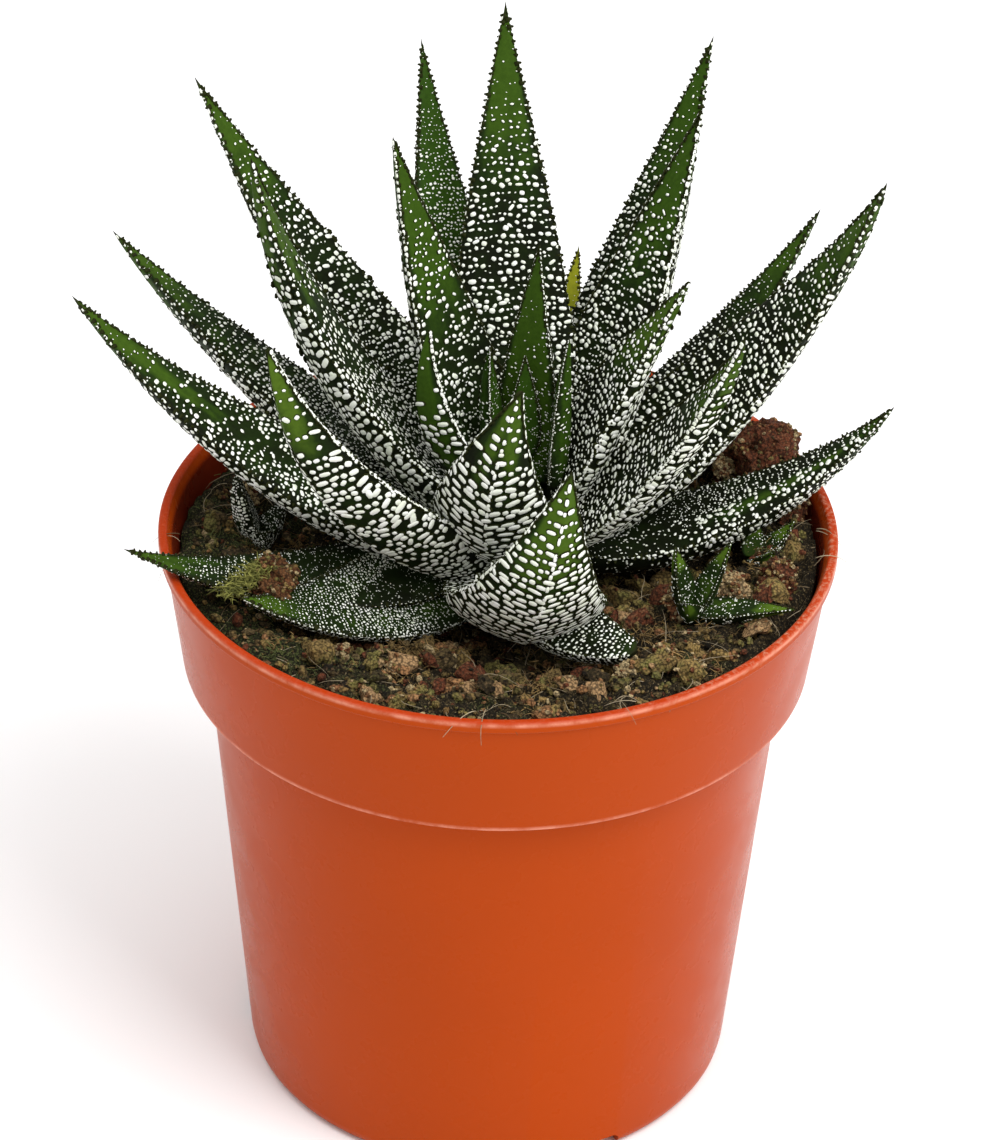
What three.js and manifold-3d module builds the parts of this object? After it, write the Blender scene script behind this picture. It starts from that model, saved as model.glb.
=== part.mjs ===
// Potted haworthia in a round plastic nursery pot.
//
// Millimetres, +Z up. The origin is the middle of the pot's underside, on the surface it stands on.
// +X is to the right and -Y to the front. Every leaf is a solid of its own, grown round a short
// stem, and each keeps a hair's breadth of clearance to its neighbours.

import * as THREE from 'three';
import { mergeVertices } from 'three/addons/utils/BufferGeometryUtils.js';
import Module from 'manifold-3d';

const wasm = await Module();
wasm.setup();

// ---------------------------------------------------------------- driving dimensions

const CLEARANCE = 0.3;          // between pieces that touch

// pot
const POT_HEIGHT = 111;
const RIM_RADIUS = 60;
const LIP_WIDTH = 1.5;
const LIP_HEIGHT = 2.3;
const LIP_STEP = 1.0;           // the lip stands out from the band by this much
const BAND_HEIGHT = 25.5;
const BAND_FOOT_RADIUS = 56;
const BODY_TOP_RADIUS = 51.6;
const FOOT_RADIUS = 44.2;
const FOOT_ROUNDING = 3;
const WALL = 1.5;
const FLOOR_UNDERSIDE = 3.6;
const FLOOR_TOP = 5.2;
const FOOT_RING_WIDTH = 4;
const PAD_RADIUS = 9;           // flat pad in the middle of the underside
const POT_SIDES = 42;
const NOTCH_COUNT = 3;
const NOTCH_WIDTH = 18.5;
const NOTCH_HEIGHT = 3.2;
const NOTCH_CHAMFER = [1.6, 0.4];  // width and height of the sloping corners of its top
const NOTCH_TURN = -68.3;       // plan direction of the first notch
const DRAIN_COUNT = 6;
const DRAIN_RADIUS = 3.5;
const DRAIN_CIRCLE = 24;

// soil
const SOIL_LEVEL = 103.5;
const SOIL_ROUGHNESS = 3;       // its crumbs reach no further than this from that level
const SOIL_CLEARANCE = 0.35;
const SOIL_SIDES = 32;
const SOIL_RINGS = 6;
const HOLLOW_PROFILE = [[13, 95], [20, 99], [25, 104], [26, 110]];   // round the plant's foot

// stem, at the middle of the rosette
const STEM_X = 4.5;
const STEM_Y = 1;
const STEM_FOOT = 96;
const STEM_TOP = 121;
const STEM_PROFILE = [[5.2, STEM_FOOT], [6.4, 103], [5.4, 107], [3.6, 112], [2.4, 117], [1.4, STEM_TOP]];
const STEM_SIDES = 14;

// leaves
const BIG = { around: 12, along: 16 };
const MIDDLING = { around: 10, along: 14 };
const SMALL = { around: 8, along: 11 };
const TINY = { around: 6, along: 6 };
const BED = { around: 6, along: 8 };
const BED_GROWTH = 3.8;         // the trough in the soil is this much wider than the leaf in it
const ROOM_SIDES = 8;
const ROOM_GROWTH = 1.35;       // covers the tubercles and the clearance
const TUBERCLE_RISE = 0.75;     // how far the raised points stand out
const SPINE_STEPS = 40;
const LEAF_POINT = 1.1;         // how drawn out the tip is; less is blunter
const BLUNT_POINT = 0.5;
const LEAF_WAIST = 0.4;         // how much narrower than its widest the leaf is where it leaves the stem
const WAIST_SHARE = 0.3;        // the share of the length that narrows to the stem
const FULL_WIDTH = 0.85;        // how far from the tip the blade reaches its full width, as a share
const FULL_DEPTH = 0.75;        // the same for its thickness
const KEEL_AT_BASE = 0.15;      // how sharp the underside's ridge is, from 0, round, to 1, flat sides
const KEEL_AT_TIP = 0.7;
const CHANNEL = 0.1;            // depth of the channel and height of the crown above, in half widths
const BLUNT_LEAF = 'leaf_drooping_front_right';
const BEDDED_LEAVES = ['leaf_low_right', 'leaf_front'];   // press into the soil, as the drooping ones do

// Every leaf: plan direction of its base and how far it swings from there to its tip, its rise at
// the base and how much steeper the tip stands (degrees); length, width, thickness; its roll about
// its own midrib; how far out and at what height it leaves the stem; and how far it leans to one
// side (degrees). Innermost first.
const LEAVES = [
  ['leaf_bud_middle', SMALL, 100, 0, 85, 0, 20, 6, 3, 0, 1.5, 124],
  ['leaf_bud_left', SMALL, 160, 0, 80, 5, 24, 7, 3.5, 0, 4, 122],
  ['leaf_young_right', SMALL, 11, -2, 90, -12, 30, 8, 3.5, -8, 4, 119],
  ['leaf_young_middle', SMALL, 90, -20, 88, -14, 45, 12, 5, -20, 3, 118],
  ['leaf_young_left', SMALL, 185, -1, 44, 48, 36, 13, 5.5, 16, 4, 119],
  ['leaf_front_inner', BIG, -119, 0, 28, 75, 51.5, 23, 7.5, 22, 2.5, 112, 15],
  ['leaf_inner_left', BIG, 136, 8, 57, 16, 67, 18, 7, 3, 4, 116],
  ['leaf_inner_right', BIG, 13, -7, 68, -15, 49, 16.5, 6.5, 4, 4, 116],
  ['leaf_middle_left', BIG, 162, -9, 31, 41, 78, 21.5, 8, 18, 5, 113],
  ['leaf_middle_right', BIG, 48, -1, 56, 6, 75, 21.5, 8, -11, 5, 113],
  ['leaf_back_tall', BIG, 98, -5, 56, 0, 89, 22.5, 7.5, -12, 5, 112],
  ['leaf_front_right', BIG, -21, -18, 44, 21, 63, 15, 7, 32, 5, 111],
  ['leaf_upper_left', BIG, 141, 8, 34, 19, 94, 22.5, 8, -1, 6, 111],
  ['leaf_back_right', BIG, 58, 0, 48, 10, 89, 21.5, 8, -12, 6, 111],
  ['leaf_right', BIG, 32, -21, 28.5, 42.5, 89, 23, 8, -4, 6, 109, -11],
  ['leaf_front_left', BIG, -146, -5, 26, 49, 74, 21, 7.5, 26, 6, 108],
  ['leaf_front', BIG, -91, 0, 0, 101, 64, 28.5, 8, 8, 4, 105.5, 11],
  ['leaf_back_left', BIG, 113, -12, 43, 7, 88, 18.5, 7, 17, 7, 109],
  ['leaf_low_left', BIG, 182, -19, 18, 25, 86, 22, 8, -4, 7, 107],
  ['leaf_left', BIG, 153, 4, 17, 22, 86, 20, 8, 9, 7, 108],
  ['leaf_right_behind', MIDDLING, 49, -24, 18, 38, 77, 17, 7, 0, 7, 106.5],
  ['leaf_low_right', BIG, 5, 8, -1, 45, 64.5, 18, 7.5, 1, 7, 108],
  ['leaf_low_back', MIDDLING, 80, 0, 33, 4, 54.5, 12, 6, 0, 7, 107],
  ['leaf_low_back_left', SMALL, 128, 4, 12, 16, 58, 16, 6.5, 0, 7, 107.5],
  ['leaf_low_back_right', SMALL, 52, -4, 9, 10, 48, 16, 6.5, 0, 7, 108.2],
  ['leaf_drooping_left', MIDDLING, -154, -22, -8, 31, 66, 17, 5.5, -14, 8, 108.5],
  ['leaf_drooping_front_left', BIG, -145, -11, -17, 46, 49, 21, 7, -20, 9, 108],
  ['leaf_drooping_front_right', MIDDLING, -86, 66, -6, 10, 34, 15, 7.5, 10, 8, 108.3],
].map(([name, grain, turn, swing, rise, curl, length, width, thickness, roll, out, seat, lean = 0]) => ({
  name, grain, turn, swing, rise, curl, length, width, thickness, roll, lean,
  point: name === BLUNT_LEAF ? BLUNT_POINT : LEAF_POINT,
  waist: LEAF_WAIST,
  base: new THREE.Vector3(
    STEM_X + out * Math.cos(radians(turn)), STEM_Y + out * Math.sin(radians(turn)), seat,
  ),
}));

// Offsets in the soil: where each is rooted, and for each of its leaves the plan direction, rise,
// curl, length, width and thickness.
const OFFSETS = [
  {
    name: 'offset_front_right', x: 34, y: -20, z: 107.9,
    leaves: [
      [145, 70, 0, 12, 5.5, 3], [35, 58, -6, 14, 5, 3],
      [-14, 14, -8, 18.5, 7, 3], [-100, 44, -10, 8, 5, 3],
    ],
  },
  {
    name: 'offset_right', x: 45, y: -1, z: 106.2,
    leaves: [[25, 30, 10, 10, 5, 3], [80, 50, 0, 7, 4.5, 3], [-50, 30, 10, 7, 4.5, 3]],
  },
  {
    name: 'offset_left', x: -42, y: 4, z: 105.4,
    leaves: [[185, 68, 8, 14, 7, 3.5], [40, 45, 0, 8, 5, 3], [-80, 35, 0, 7, 5, 3]],
  },
];
const OFFSET_ROOT_DEPTH = 6;
const OFFSET_ROOT_RADIUS = 2.4;
const OFFSET_RELIEF = 0.5;

// Clods that stand out of the soil: x, y, height of the middle, radius.
const CLODS = [
  [45.5, 18.5, 112, 6.5], [49, 11.5, 108, 4.8], [41.5, 25, 108, 5],
  [-38, -13, 104.5, 4.6], [-31, -21, 103.5, 3.4], [48.5, -13.5, 104.5, 4.8], [41, -25, 103.5, 4.2],
  [29, -39, 103.5, 4.2], [12, -46, 103, 4], [-14, -45, 103, 4], [-30, 38, 103.5, 4.4],
];

// ---------------------------------------------------------------- finishes

const plastic = new THREE.MeshStandardMaterial({ color: 0xc4541f, roughness: 0.45, metalness: 0 });
const leafGreen = new THREE.MeshStandardMaterial({ color: 0x31501f, roughness: 0.5, metalness: 0 });
const freshGreen = new THREE.MeshStandardMaterial({ color: 0x5f8f2c, roughness: 0.5, metalness: 0 });
const yellowGreen = new THREE.MeshStandardMaterial({ color: 0x9a9a2c, roughness: 0.55, metalness: 0 });
const stemGreen = new THREE.MeshStandardMaterial({ color: 0x6b6f3a, roughness: 0.7, metalness: 0 });
const peat = new THREE.MeshStandardMaterial({ color: 0x3d2c20, roughness: 0.95, metalness: 0 });

// ---------------------------------------------------------------- helpers

function radians(degrees) {
  return degrees * Math.PI / 180;
}

// A repeatable number from -1 to 1 for a place and a salt.
function scatter(x, y, salt) {
  const wave = Math.sin(x * 12.9898 + y * 78.233 + salt * 37.719) * 43758.5453;
  return 2 * (wave - Math.floor(wave)) - 1;
}

function toSolid(geometry) {
  const bare = geometry.clone();
  bare.deleteAttribute('normal');
  bare.deleteAttribute('uv');
  const merged = mergeVertices(bare);
  return new wasm.Manifold(new wasm.Mesh({
    numProp: 3,
    vertProperties: new Float32Array(merged.attributes.position.array),
    triVerts: new Uint32Array(merged.index.array),
  }));
}

// The biggest body of a solid, so that no scrap is left where neighbours have cut it.
function mainBody(solid) {
  const bodies = solid.decompose();
  return bodies.reduce((best, body) => (body.volume() > best.volume() ? body : best));
}

function toMesh(name, solid, material) {
  const found = mainBody(solid).getMesh();
  const geometry = new THREE.BufferGeometry();
  geometry.setAttribute('position', new THREE.BufferAttribute(found.vertProperties, 3));
  geometry.setIndex(new THREE.BufferAttribute(found.triVerts, 1));
  geometry.computeVertexNormals();
  const mesh = new THREE.Mesh(geometry, material);
  mesh.name = name;
  return mesh;
}

// A body of revolution about +Z from [radius, height] pairs that start and end on the axis.
function turned(profile, sides) {
  const points = profile.map(([radius, height]) => new THREE.Vector2(radius, height));
  return new THREE.LatheGeometry(points, sides).rotateX(Math.PI / 2);
}

// ---------------------------------------------------------------- leaves

// The level direction away from the stem and the one across it, which the lean tips over.
function bearings(leaf, share) {
  const turn = radians(leaf.turn + leaf.swing * share);
  const outward = new THREE.Vector3(Math.cos(turn), Math.sin(turn), 0);
  const across = new THREE.Vector3(-Math.sin(turn), Math.cos(turn), 0);
  across.applyAxisAngle(outward, -radians(leaf.lean));
  return { outward, across };
}

// The direction in which a leaf grows at a share of its length.
function heading(leaf, share) {
  const rise = radians(leaf.rise + leaf.curl * share);
  const { outward, across } = bearings(leaf, share);
  const upright = outward.clone().cross(across);
  return outward.multiplyScalar(Math.cos(rise)).addScaledVector(upright, Math.sin(rise));
}

// The place on the midrib at a share of the length, with the directions across and up from it.
function midrib(leaf, share) {
  const place = leaf.base.clone();
  for (let step = 0; step < SPINE_STEPS; step += 1) {
    const reached = share * (step + 0.5) / SPINE_STEPS;
    place.addScaledVector(heading(leaf, reached), leaf.length * share / SPINE_STEPS);
  }
  const along = heading(leaf, share);
  const across = bearings(leaf, share).across.applyAxisAngle(along, radians(leaf.roll));
  const up = along.clone().cross(across);
  return { place, across, up };
}

// Half the width: a pointed blade that is widest near its base.
function halfWidth(leaf, share) {
  const fromTip = 1 - share;
  const taper = Math.sin(Math.PI / 2 * Math.min(1, fromTip / FULL_WIDTH)) ** leaf.point;
  const waist = Math.max(0, (fromTip - 1 + WAIST_SHARE) / WAIST_SHARE);
  return leaf.width / 2 * taper * (1 - leaf.waist * waist * waist);
}

// Thickness below the margins, which grows from the tip a little faster than the width.
function depth(leaf, share) {
  const grown = Math.sin(Math.PI / 2 * Math.min(1, (1 - share) / FULL_DEPTH));
  return leaf.thickness * grown ** (0.77 * leaf.point);
}

// A point of the section: a shallow channel above, a rounded underside that is keeled to the tip.
function sectionPoint(leaf, share, angle) {
  const side = Math.cos(angle);
  const lift = Math.sin(angle);
  const half = halfWidth(leaf, share);
  const keel = KEEL_AT_BASE + (KEEL_AT_TIP - KEEL_AT_BASE) * share;
  const hollowness = Math.sin(Math.PI * Math.min(1, 0.2 + 1.2 * share));
  const above = half * CHANNEL * (lift - (1 - side * side) ** 1.5 * hollowness);
  const below = depth(leaf, share) * ((1 - keel) * lift - keel * (1 - Math.abs(side)));
  return [half * side, lift >= 0 ? above : below];
}

// A sphere whose rows become the sections of the leaf and whose poles become its base and tip.
// With relief, every other point stands out as a tubercle. With growth, the leaf is fatter all over.
function leafShape(leaf, relief, growth) {
  const { around, along } = leaf.grain;
  const blade = new THREE.SphereGeometry(1, around, along);
  const places = blade.attributes.position;
  for (let row = 0; row <= along; row += 1) {
    const share = Math.max(0, (row - 1) / (along - 1));
    const { place, across, up } = midrib(leaf, share);
    const isPole = row === 0 || row === along;
    const fade = Math.min(1, halfWidth(leaf, share) / 5, share / 0.12);
    for (let column = 0; column <= around; column += 1) {
      const angle = -2 * Math.PI * column / around;
      const [side, lift] = isPole ? [0, 0] : sectionPoint(leaf, share, angle);
      const isRaised = (row + column) % 2 === 0;
      const bump = isPole ? 0 : relief * fade * (isRaised ? 0.75 : -0.25) + growth;
      const point = place.clone()
        .addScaledVector(across, side + bump * Math.cos(angle))
        .addScaledVector(up, lift + bump * Math.sin(angle));
      places.setXYZ(row * (around + 1) + column, point.x, point.y, point.z);
    }
  }
  return blade;
}

// The room a leaf takes up with its clearance: grown over its tubercles, and longer at both ends.
function leafRoom(leaf) {
  const longer = {
    ...leaf,
    grain: { around: ROOM_SIDES, along: leaf.grain.along },
    length: leaf.length + 2 * CLEARANCE,
    base: leaf.base.clone(),
  };
  longer.base.addScaledVector(heading(leaf, 0), -CLEARANCE);
  return toSolid(leafShape(longer, 0, ROOM_GROWTH));
}

// The plain trough that a leaf lying on the soil has pressed into it.
function leafBed(leaf) {
  return toSolid(leafShape({ ...leaf, grain: BED }, 0, BED_GROWTH));
}

// ---------------------------------------------------------------- pot

// Radius of the pot's outside at a height, without its rounding, band step and lip.
function wallRadius(height) {
  const bandFoot = POT_HEIGHT - BAND_HEIGHT;
  if (height <= bandFoot) {
    return FOOT_RADIUS + (BODY_TOP_RADIUS - FOOT_RADIUS) * height / bandFoot;
  }
  const share = (height - bandFoot) / (BAND_HEIGHT - LIP_HEIGHT);
  return BAND_FOOT_RADIUS + (RIM_RADIUS - LIP_STEP - BAND_FOOT_RADIUS) * Math.min(1, share);
}

function potSolid() {
  const bandFoot = POT_HEIGHT - BAND_HEIGHT;
  const lipFoot = POT_HEIGHT - LIP_HEIGHT;
  const ringInside = FOOT_RADIUS - FOOT_ROUNDING - FOOT_RING_WIDTH;
  const profile = [
    [0, 0], [PAD_RADIUS, 0], [PAD_RADIUS + 1, FLOOR_UNDERSIDE],
    [ringInside - 1, FLOOR_UNDERSIDE], [ringInside, 0],
    [FOOT_RADIUS - FOOT_ROUNDING, 0],
    [wallRadius(0) - 0.3 * FOOT_ROUNDING, 0.3 * FOOT_ROUNDING],
    [wallRadius(FOOT_ROUNDING), FOOT_ROUNDING],
    [BODY_TOP_RADIUS, bandFoot - 0.4], [BAND_FOOT_RADIUS, bandFoot],
    [wallRadius(lipFoot), lipFoot - 0.3], [RIM_RADIUS, lipFoot + 0.3],
    [RIM_RADIUS, POT_HEIGHT - 0.4], [RIM_RADIUS - 0.4, POT_HEIGHT],
    [RIM_RADIUS - LIP_WIDTH, POT_HEIGHT],
    [wallRadius(lipFoot) - WALL, lipFoot],
    [BAND_FOOT_RADIUS - WALL, bandFoot + WALL], [BODY_TOP_RADIUS - WALL, bandFoot - WALL],
    [wallRadius(FLOOR_TOP) - WALL, FLOOR_TOP], [0, FLOOR_TOP],
  ];
  let pot = toSolid(turned(profile, POT_SIDES).rotateZ(radians(NOTCH_TURN)));
  const [slopeWidth, slopeHeight] = NOTCH_CHAMFER;
  const arch = new THREE.Shape();
  arch.moveTo(-NOTCH_WIDTH / 2, -1);
  arch.lineTo(-NOTCH_WIDTH / 2, 0);
  arch.lineTo(slopeWidth - NOTCH_WIDTH / 2, NOTCH_HEIGHT - slopeHeight);
  arch.lineTo(0, NOTCH_HEIGHT);
  arch.lineTo(NOTCH_WIDTH / 2 - slopeWidth, NOTCH_HEIGHT - slopeHeight);
  arch.lineTo(NOTCH_WIDTH / 2, 0);
  arch.lineTo(NOTCH_WIDTH / 2, -1);
  const notchReach = FOOT_RADIUS + 2 - ringInside + 4;
  for (let notch = 0; notch < NOTCH_COUNT; notch += 1) {
    const cutter = new THREE.ExtrudeGeometry(arch, { depth: notchReach, bevelEnabled: false });
    cutter.rotateX(Math.PI / 2).translate(0, FOOT_RADIUS + 2, 0);
    cutter.rotateZ(radians(NOTCH_TURN - 90 + notch * 360 / NOTCH_COUNT));
    pot = pot.subtract(toSolid(cutter));
  }
  for (let drain = 0; drain < DRAIN_COUNT; drain += 1) {
    const turn = radians(NOTCH_TURN + drain * 360 / DRAIN_COUNT);
    const hole = new THREE.CylinderGeometry(DRAIN_RADIUS, DRAIN_RADIUS, 2 * FLOOR_TOP, 8);
    hole.rotateX(Math.PI / 2);
    hole.translate(DRAIN_CIRCLE * Math.cos(turn), DRAIN_CIRCLE * Math.sin(turn), FLOOR_TOP);
    pot = pot.subtract(toSolid(hole));
  }
  return pot;
}

// ---------------------------------------------------------------- stem, offsets and soil

function stemSolid(growth) {
  const wall = STEM_PROFILE.map(([radius, height]) => [radius + growth, height]);
  const profile = [[0, STEM_FOOT - growth], ...wall, [0, STEM_TOP + growth]];
  return toSolid(turned(profile, STEM_SIDES).translate(STEM_X, STEM_Y, 0));
}

// The hollow that the foot of the plant stands in.
function hollow() {
  const [, bottom] = HOLLOW_PROFILE.at(0);
  const [, top] = HOLLOW_PROFILE.at(-1);
  const profile = [[0, bottom], ...HOLLOW_PROFILE, [0, top]];
  return toSolid(turned(profile, STEM_SIDES).translate(STEM_X, STEM_Y, 0));
}

function offsetLeaf(offset, [turn, rise, curl, length, width, thickness]) {
  return {
    grain: TINY, turn, swing: 0, rise, curl, length, width, thickness, roll: 0, lean: 0,
    point: LEAF_POINT, waist: LEAF_WAIST, base: new THREE.Vector3(offset.x, offset.y, offset.z),
  };
}

function offsetRoot(offset, growth) {
  const radius = OFFSET_ROOT_RADIUS + growth;
  const root = new THREE.CylinderGeometry(radius, 0.6 * radius, OFFSET_ROOT_DEPTH + growth, 8);
  root.rotateX(Math.PI / 2);
  root.translate(offset.x, offset.y, offset.z + (2 - OFFSET_ROOT_DEPTH - growth) / 2);
  return toSolid(root);
}

function offsetSolid(offset) {
  const blades = offset.leaves.map((entry) => {
    const leaf = offsetLeaf(offset, entry);
    return toSolid(leafShape(leaf, OFFSET_RELIEF, 0));
  });
  return blades.reduce((whole, blade) => whole.add(blade), offsetRoot(offset, 0));
}

// Height of the soil's crumbly surface, which is a little higher on the right.
function soilHeight(x, y) {
  const swell = 0.8 * Math.sin(0.11 * x + 1) * Math.cos(0.13 * y);
  return SOIL_LEVEL + 0.02 * x + swell + 0.9 * scatter(Math.round(x), Math.round(y), 3);
}

function soilSolid() {
  const bandFoot = POT_HEIGHT - BAND_HEIGHT;
  const inset = WALL + SOIL_CLEARANCE;
  const edge = wallRadius(SOIL_LEVEL - SOIL_ROUGHNESS) - inset;
  const profile = [
    [0, FLOOR_TOP + SOIL_CLEARANCE],
    [wallRadius(FLOOR_TOP) - inset, FLOOR_TOP + SOIL_CLEARANCE],
    [BODY_TOP_RADIUS - inset, bandFoot - WALL],
    [BAND_FOOT_RADIUS - inset, bandFoot + WALL + 0.3],
  ];
  for (let ring = SOIL_RINGS; ring >= 0; ring -= 1) {
    profile.push([edge * ring / SOIL_RINGS, SOIL_LEVEL]);
  }
  const body = turned(profile, SOIL_SIDES);
  const places = body.attributes.position;
  for (let index = 0; index < places.count; index += 1) {
    const x = places.getX(index);
    const y = places.getY(index);
    if (places.getZ(index) > SOIL_LEVEL - 0.01) {
      places.setZ(index, soilHeight(x, y));
    }
  }
  return CLODS.reduce((soil, clod) => soil.add(clodSolid(clod)), toSolid(body));
}

function clodSolid([x, y, height, radius]) {
  const clod = new THREE.IcosahedronGeometry(radius, 1);
  const places = clod.attributes.position;
  for (let index = 0; index < places.count; index += 1) {
    const point = new THREE.Vector3().fromBufferAttribute(places, index);
    const size = 1 + 0.14 * scatter(Math.round(9 * point.x), Math.round(9 * point.y), point.z > 0 ? 1 : 2);
    point.multiplyScalar(size);
    places.setXYZ(index, x + point.x, y + point.y, height + 0.9 * point.z);
  }
  return toSolid(clod);
}

// ---------------------------------------------------------------- assembly

const plant = new THREE.Group();
const taken = [stemSolid(CLEARANCE)];
let buried = hollow();

for (const leaf of LEAVES) {
  let blade = toSolid(leafShape(leaf, TUBERCLE_RISE, 0));
  for (const room of taken) {
    blade = blade.subtract(room);
  }
  const room = leafRoom(leaf);
  taken.push(room);
  if (BEDDED_LEAVES.includes(leaf.name) || leaf.name.includes('drooping')) {
    buried = buried.add(leafBed(leaf));
  }
  plant.add(toMesh(leaf.name, blade, leafFinish(leaf.name)));
}

for (const offset of OFFSETS) {
  let rosette = offsetSolid(offset);
  for (const room of taken) {
    rosette = rosette.subtract(room);
  }
  buried = buried.add(offsetRoot(offset, CLEARANCE));
  plant.add(toMesh(offset.name, rosette, freshGreen));
}

plant.add(toMesh('stem', stemSolid(0), stemGreen));
plant.add(toMesh('soil', soilSolid().subtract(buried), peat));
plant.add(toMesh('pot', potSolid(), plastic));

function leafFinish(name) {
  if (name === 'leaf_low_back') {
    return yellowGreen;
  }
  return name.includes('young') || name.includes('bud') ? freshGreen : leafGreen;
}

export default plant;
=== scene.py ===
"""Potted haworthia: thick pointed leaves set with white tubercles, in a plastic nursery pot.

Metres, +Z up, the origin in the middle of the pot's underside, +X to the right, -Y to the front.
"""

import math
import random
from collections import namedtuple

import bmesh
import bpy
from mathutils import Matrix, Vector, noise


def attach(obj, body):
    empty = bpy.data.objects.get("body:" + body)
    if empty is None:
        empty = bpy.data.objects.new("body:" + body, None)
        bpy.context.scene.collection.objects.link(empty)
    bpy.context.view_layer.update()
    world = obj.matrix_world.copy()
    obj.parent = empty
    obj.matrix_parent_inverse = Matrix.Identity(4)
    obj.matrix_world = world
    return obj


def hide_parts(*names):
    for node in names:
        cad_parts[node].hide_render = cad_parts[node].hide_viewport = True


bl_info = {
    "name": "Potted haworthia",
    "version": (1, 0, 0),
    "blender": (4, 5, 0),
    "location": "View3D > Sidebar > Haworthia",
    "description": "Builds a haworthia rosette with its offsets, soil and nursery pot",
    "category": "Add Mesh",
}

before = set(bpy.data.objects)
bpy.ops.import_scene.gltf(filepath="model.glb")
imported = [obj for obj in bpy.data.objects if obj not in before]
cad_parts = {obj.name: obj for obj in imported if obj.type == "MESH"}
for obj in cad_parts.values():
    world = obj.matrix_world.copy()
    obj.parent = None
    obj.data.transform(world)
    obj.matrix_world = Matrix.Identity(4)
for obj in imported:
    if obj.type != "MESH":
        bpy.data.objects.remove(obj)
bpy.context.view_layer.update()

# ---------------------------------------------------------------- the plant's own form

SEED = 41
NOISE_SEED = 1795539051     # without one, Blender's vector noise starts from the clock
STEM_X = 0.0045             # the stem stands a little beside the middle of the pot
STEM_Y = 0.001
LEAF_POINT = 1.1            # how drawn out the tip is
BLUNT_POINT = 0.5
FULL_LEAF = 0.021           # width from which a leaf has beads, teeth and tubercles of full size
LEAF_WAIST = 0.4            # how much narrower the leaf is at the stem
WAIST_SHARE = 0.3
FULL_WIDTH = 0.85           # share of the length, from the tip, after which the width stops growing
FULL_DEPTH = 0.75
KEEL_AT_BASE = 0.15
KEEL_AT_TIP = 0.7
CHANNEL = 0.1               # depth of the upper face's channel, as a share of the half width
SPINE_STEPS = 120

# name, plan direction of the base, swing, rise, curl (degrees), length, width, thickness, roll
# about the midrib (degrees), distance out from the stem, height of the base, lean (degrees)
LEAVES = [
    ("leaf_bud_middle", 100, 0, 85, 0, 0.02, 0.006, 0.003, 0, 0.0015, 0.124, 0),
    ("leaf_bud_left", 160, 0, 80, 5, 0.024, 0.007, 0.0035, 0, 0.004, 0.122, 0),
    ("leaf_young_right", 11, -2, 90, -12, 0.03, 0.008, 0.0035, -8, 0.004, 0.119, 0),
    ("leaf_young_middle", 90, -20, 88, -14, 0.045, 0.012, 0.005, -20, 0.003, 0.118, 0),
    ("leaf_young_left", 185, -1, 44, 48, 0.036, 0.013, 0.0055, 16, 0.004, 0.119, 0),
    ("leaf_front_inner", -119, 0, 28, 75, 0.0515, 0.023, 0.0075, 22, 0.0025, 0.112, 15),
    ("leaf_inner_left", 136, 8, 57, 16, 0.067, 0.018, 0.007, 3, 0.004, 0.116, 0),
    ("leaf_inner_right", 13, -7, 68, -15, 0.049, 0.0165, 0.0065, 4, 0.004, 0.116, 0),
    ("leaf_middle_left", 162, -9, 31, 41, 0.078, 0.0215, 0.008, 18, 0.005, 0.113, 0),
    ("leaf_middle_right", 48, -1, 56, 6, 0.075, 0.0215, 0.008, -11, 0.005, 0.113, 0),
    ("leaf_back_tall", 98, -5, 56, 0, 0.089, 0.0225, 0.0075, -12, 0.005, 0.112, 0),
    ("leaf_front_right", -21, -18, 44, 21, 0.063, 0.015, 0.007, 32, 0.005, 0.111, 0),
    ("leaf_upper_left", 141, 8, 34, 19, 0.094, 0.0225, 0.008, -1, 0.006, 0.111, 0),
    ("leaf_back_right", 58, 0, 48, 10, 0.089, 0.0215, 0.008, -12, 0.006, 0.111, 0),
    ("leaf_right", 32, -21, 28.5, 42.5, 0.089, 0.023, 0.008, -4, 0.006, 0.109, -11),
    ("leaf_front_left", -146, -5, 26, 49, 0.074, 0.021, 0.0075, 26, 0.006, 0.108, 0),
    ("leaf_front", -91, 0, 0, 101, 0.064, 0.0285, 0.008, 8, 0.004, 0.1055, 11),
    ("leaf_back_left", 113, -12, 43, 7, 0.088, 0.0185, 0.007, 17, 0.007, 0.109, 0),
    ("leaf_low_left", 182, -19, 18, 25, 0.086, 0.022, 0.008, -4, 0.007, 0.107, 0),
    ("leaf_left", 153, 4, 17, 22, 0.086, 0.02, 0.008, 9, 0.007, 0.108, 0),
    ("leaf_right_behind", 49, -24, 18, 38, 0.077, 0.017, 0.007, 0, 0.007, 0.1065, 0),
    ("leaf_low_right", 5, 8, -1, 45, 0.0645, 0.018, 0.0075, 1, 0.007, 0.108, 0),
    ("leaf_low_back", 80, 0, 33, 4, 0.0545, 0.012, 0.006, 0, 0.007, 0.107, 0),
    ("leaf_low_back_left", 128, 4, 12, 16, 0.058, 0.016, 0.0065, 0, 0.007, 0.1075, 0),
    ("leaf_low_back_right", 52, -4, 9, 10, 0.048, 0.016, 0.0065, 0, 0.007, 0.1082, 0),
    ("leaf_drooping_left", -154, -22, -8, 31, 0.066, 0.017, 0.0055, -14, 0.008, 0.1085, 0),
    ("leaf_drooping_front_left", -145, -11, -17, 46, 0.049, 0.021, 0.007, -20, 0.009, 0.108, 0),
    ("leaf_drooping_front_right", -86, 66, -6, 10, 0.034, 0.015, 0.0075, 10, 0.008, 0.1083, 0),
]
BLUNT_LEAF = "leaf_drooping_front_right"
YELLOW_LEAF = "leaf_low_back"
BEDDED_LEAVES = (
    "leaf_low_right", "leaf_front", "leaf_drooping_left",
    "leaf_drooping_front_left", "leaf_drooping_front_right",
)
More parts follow.
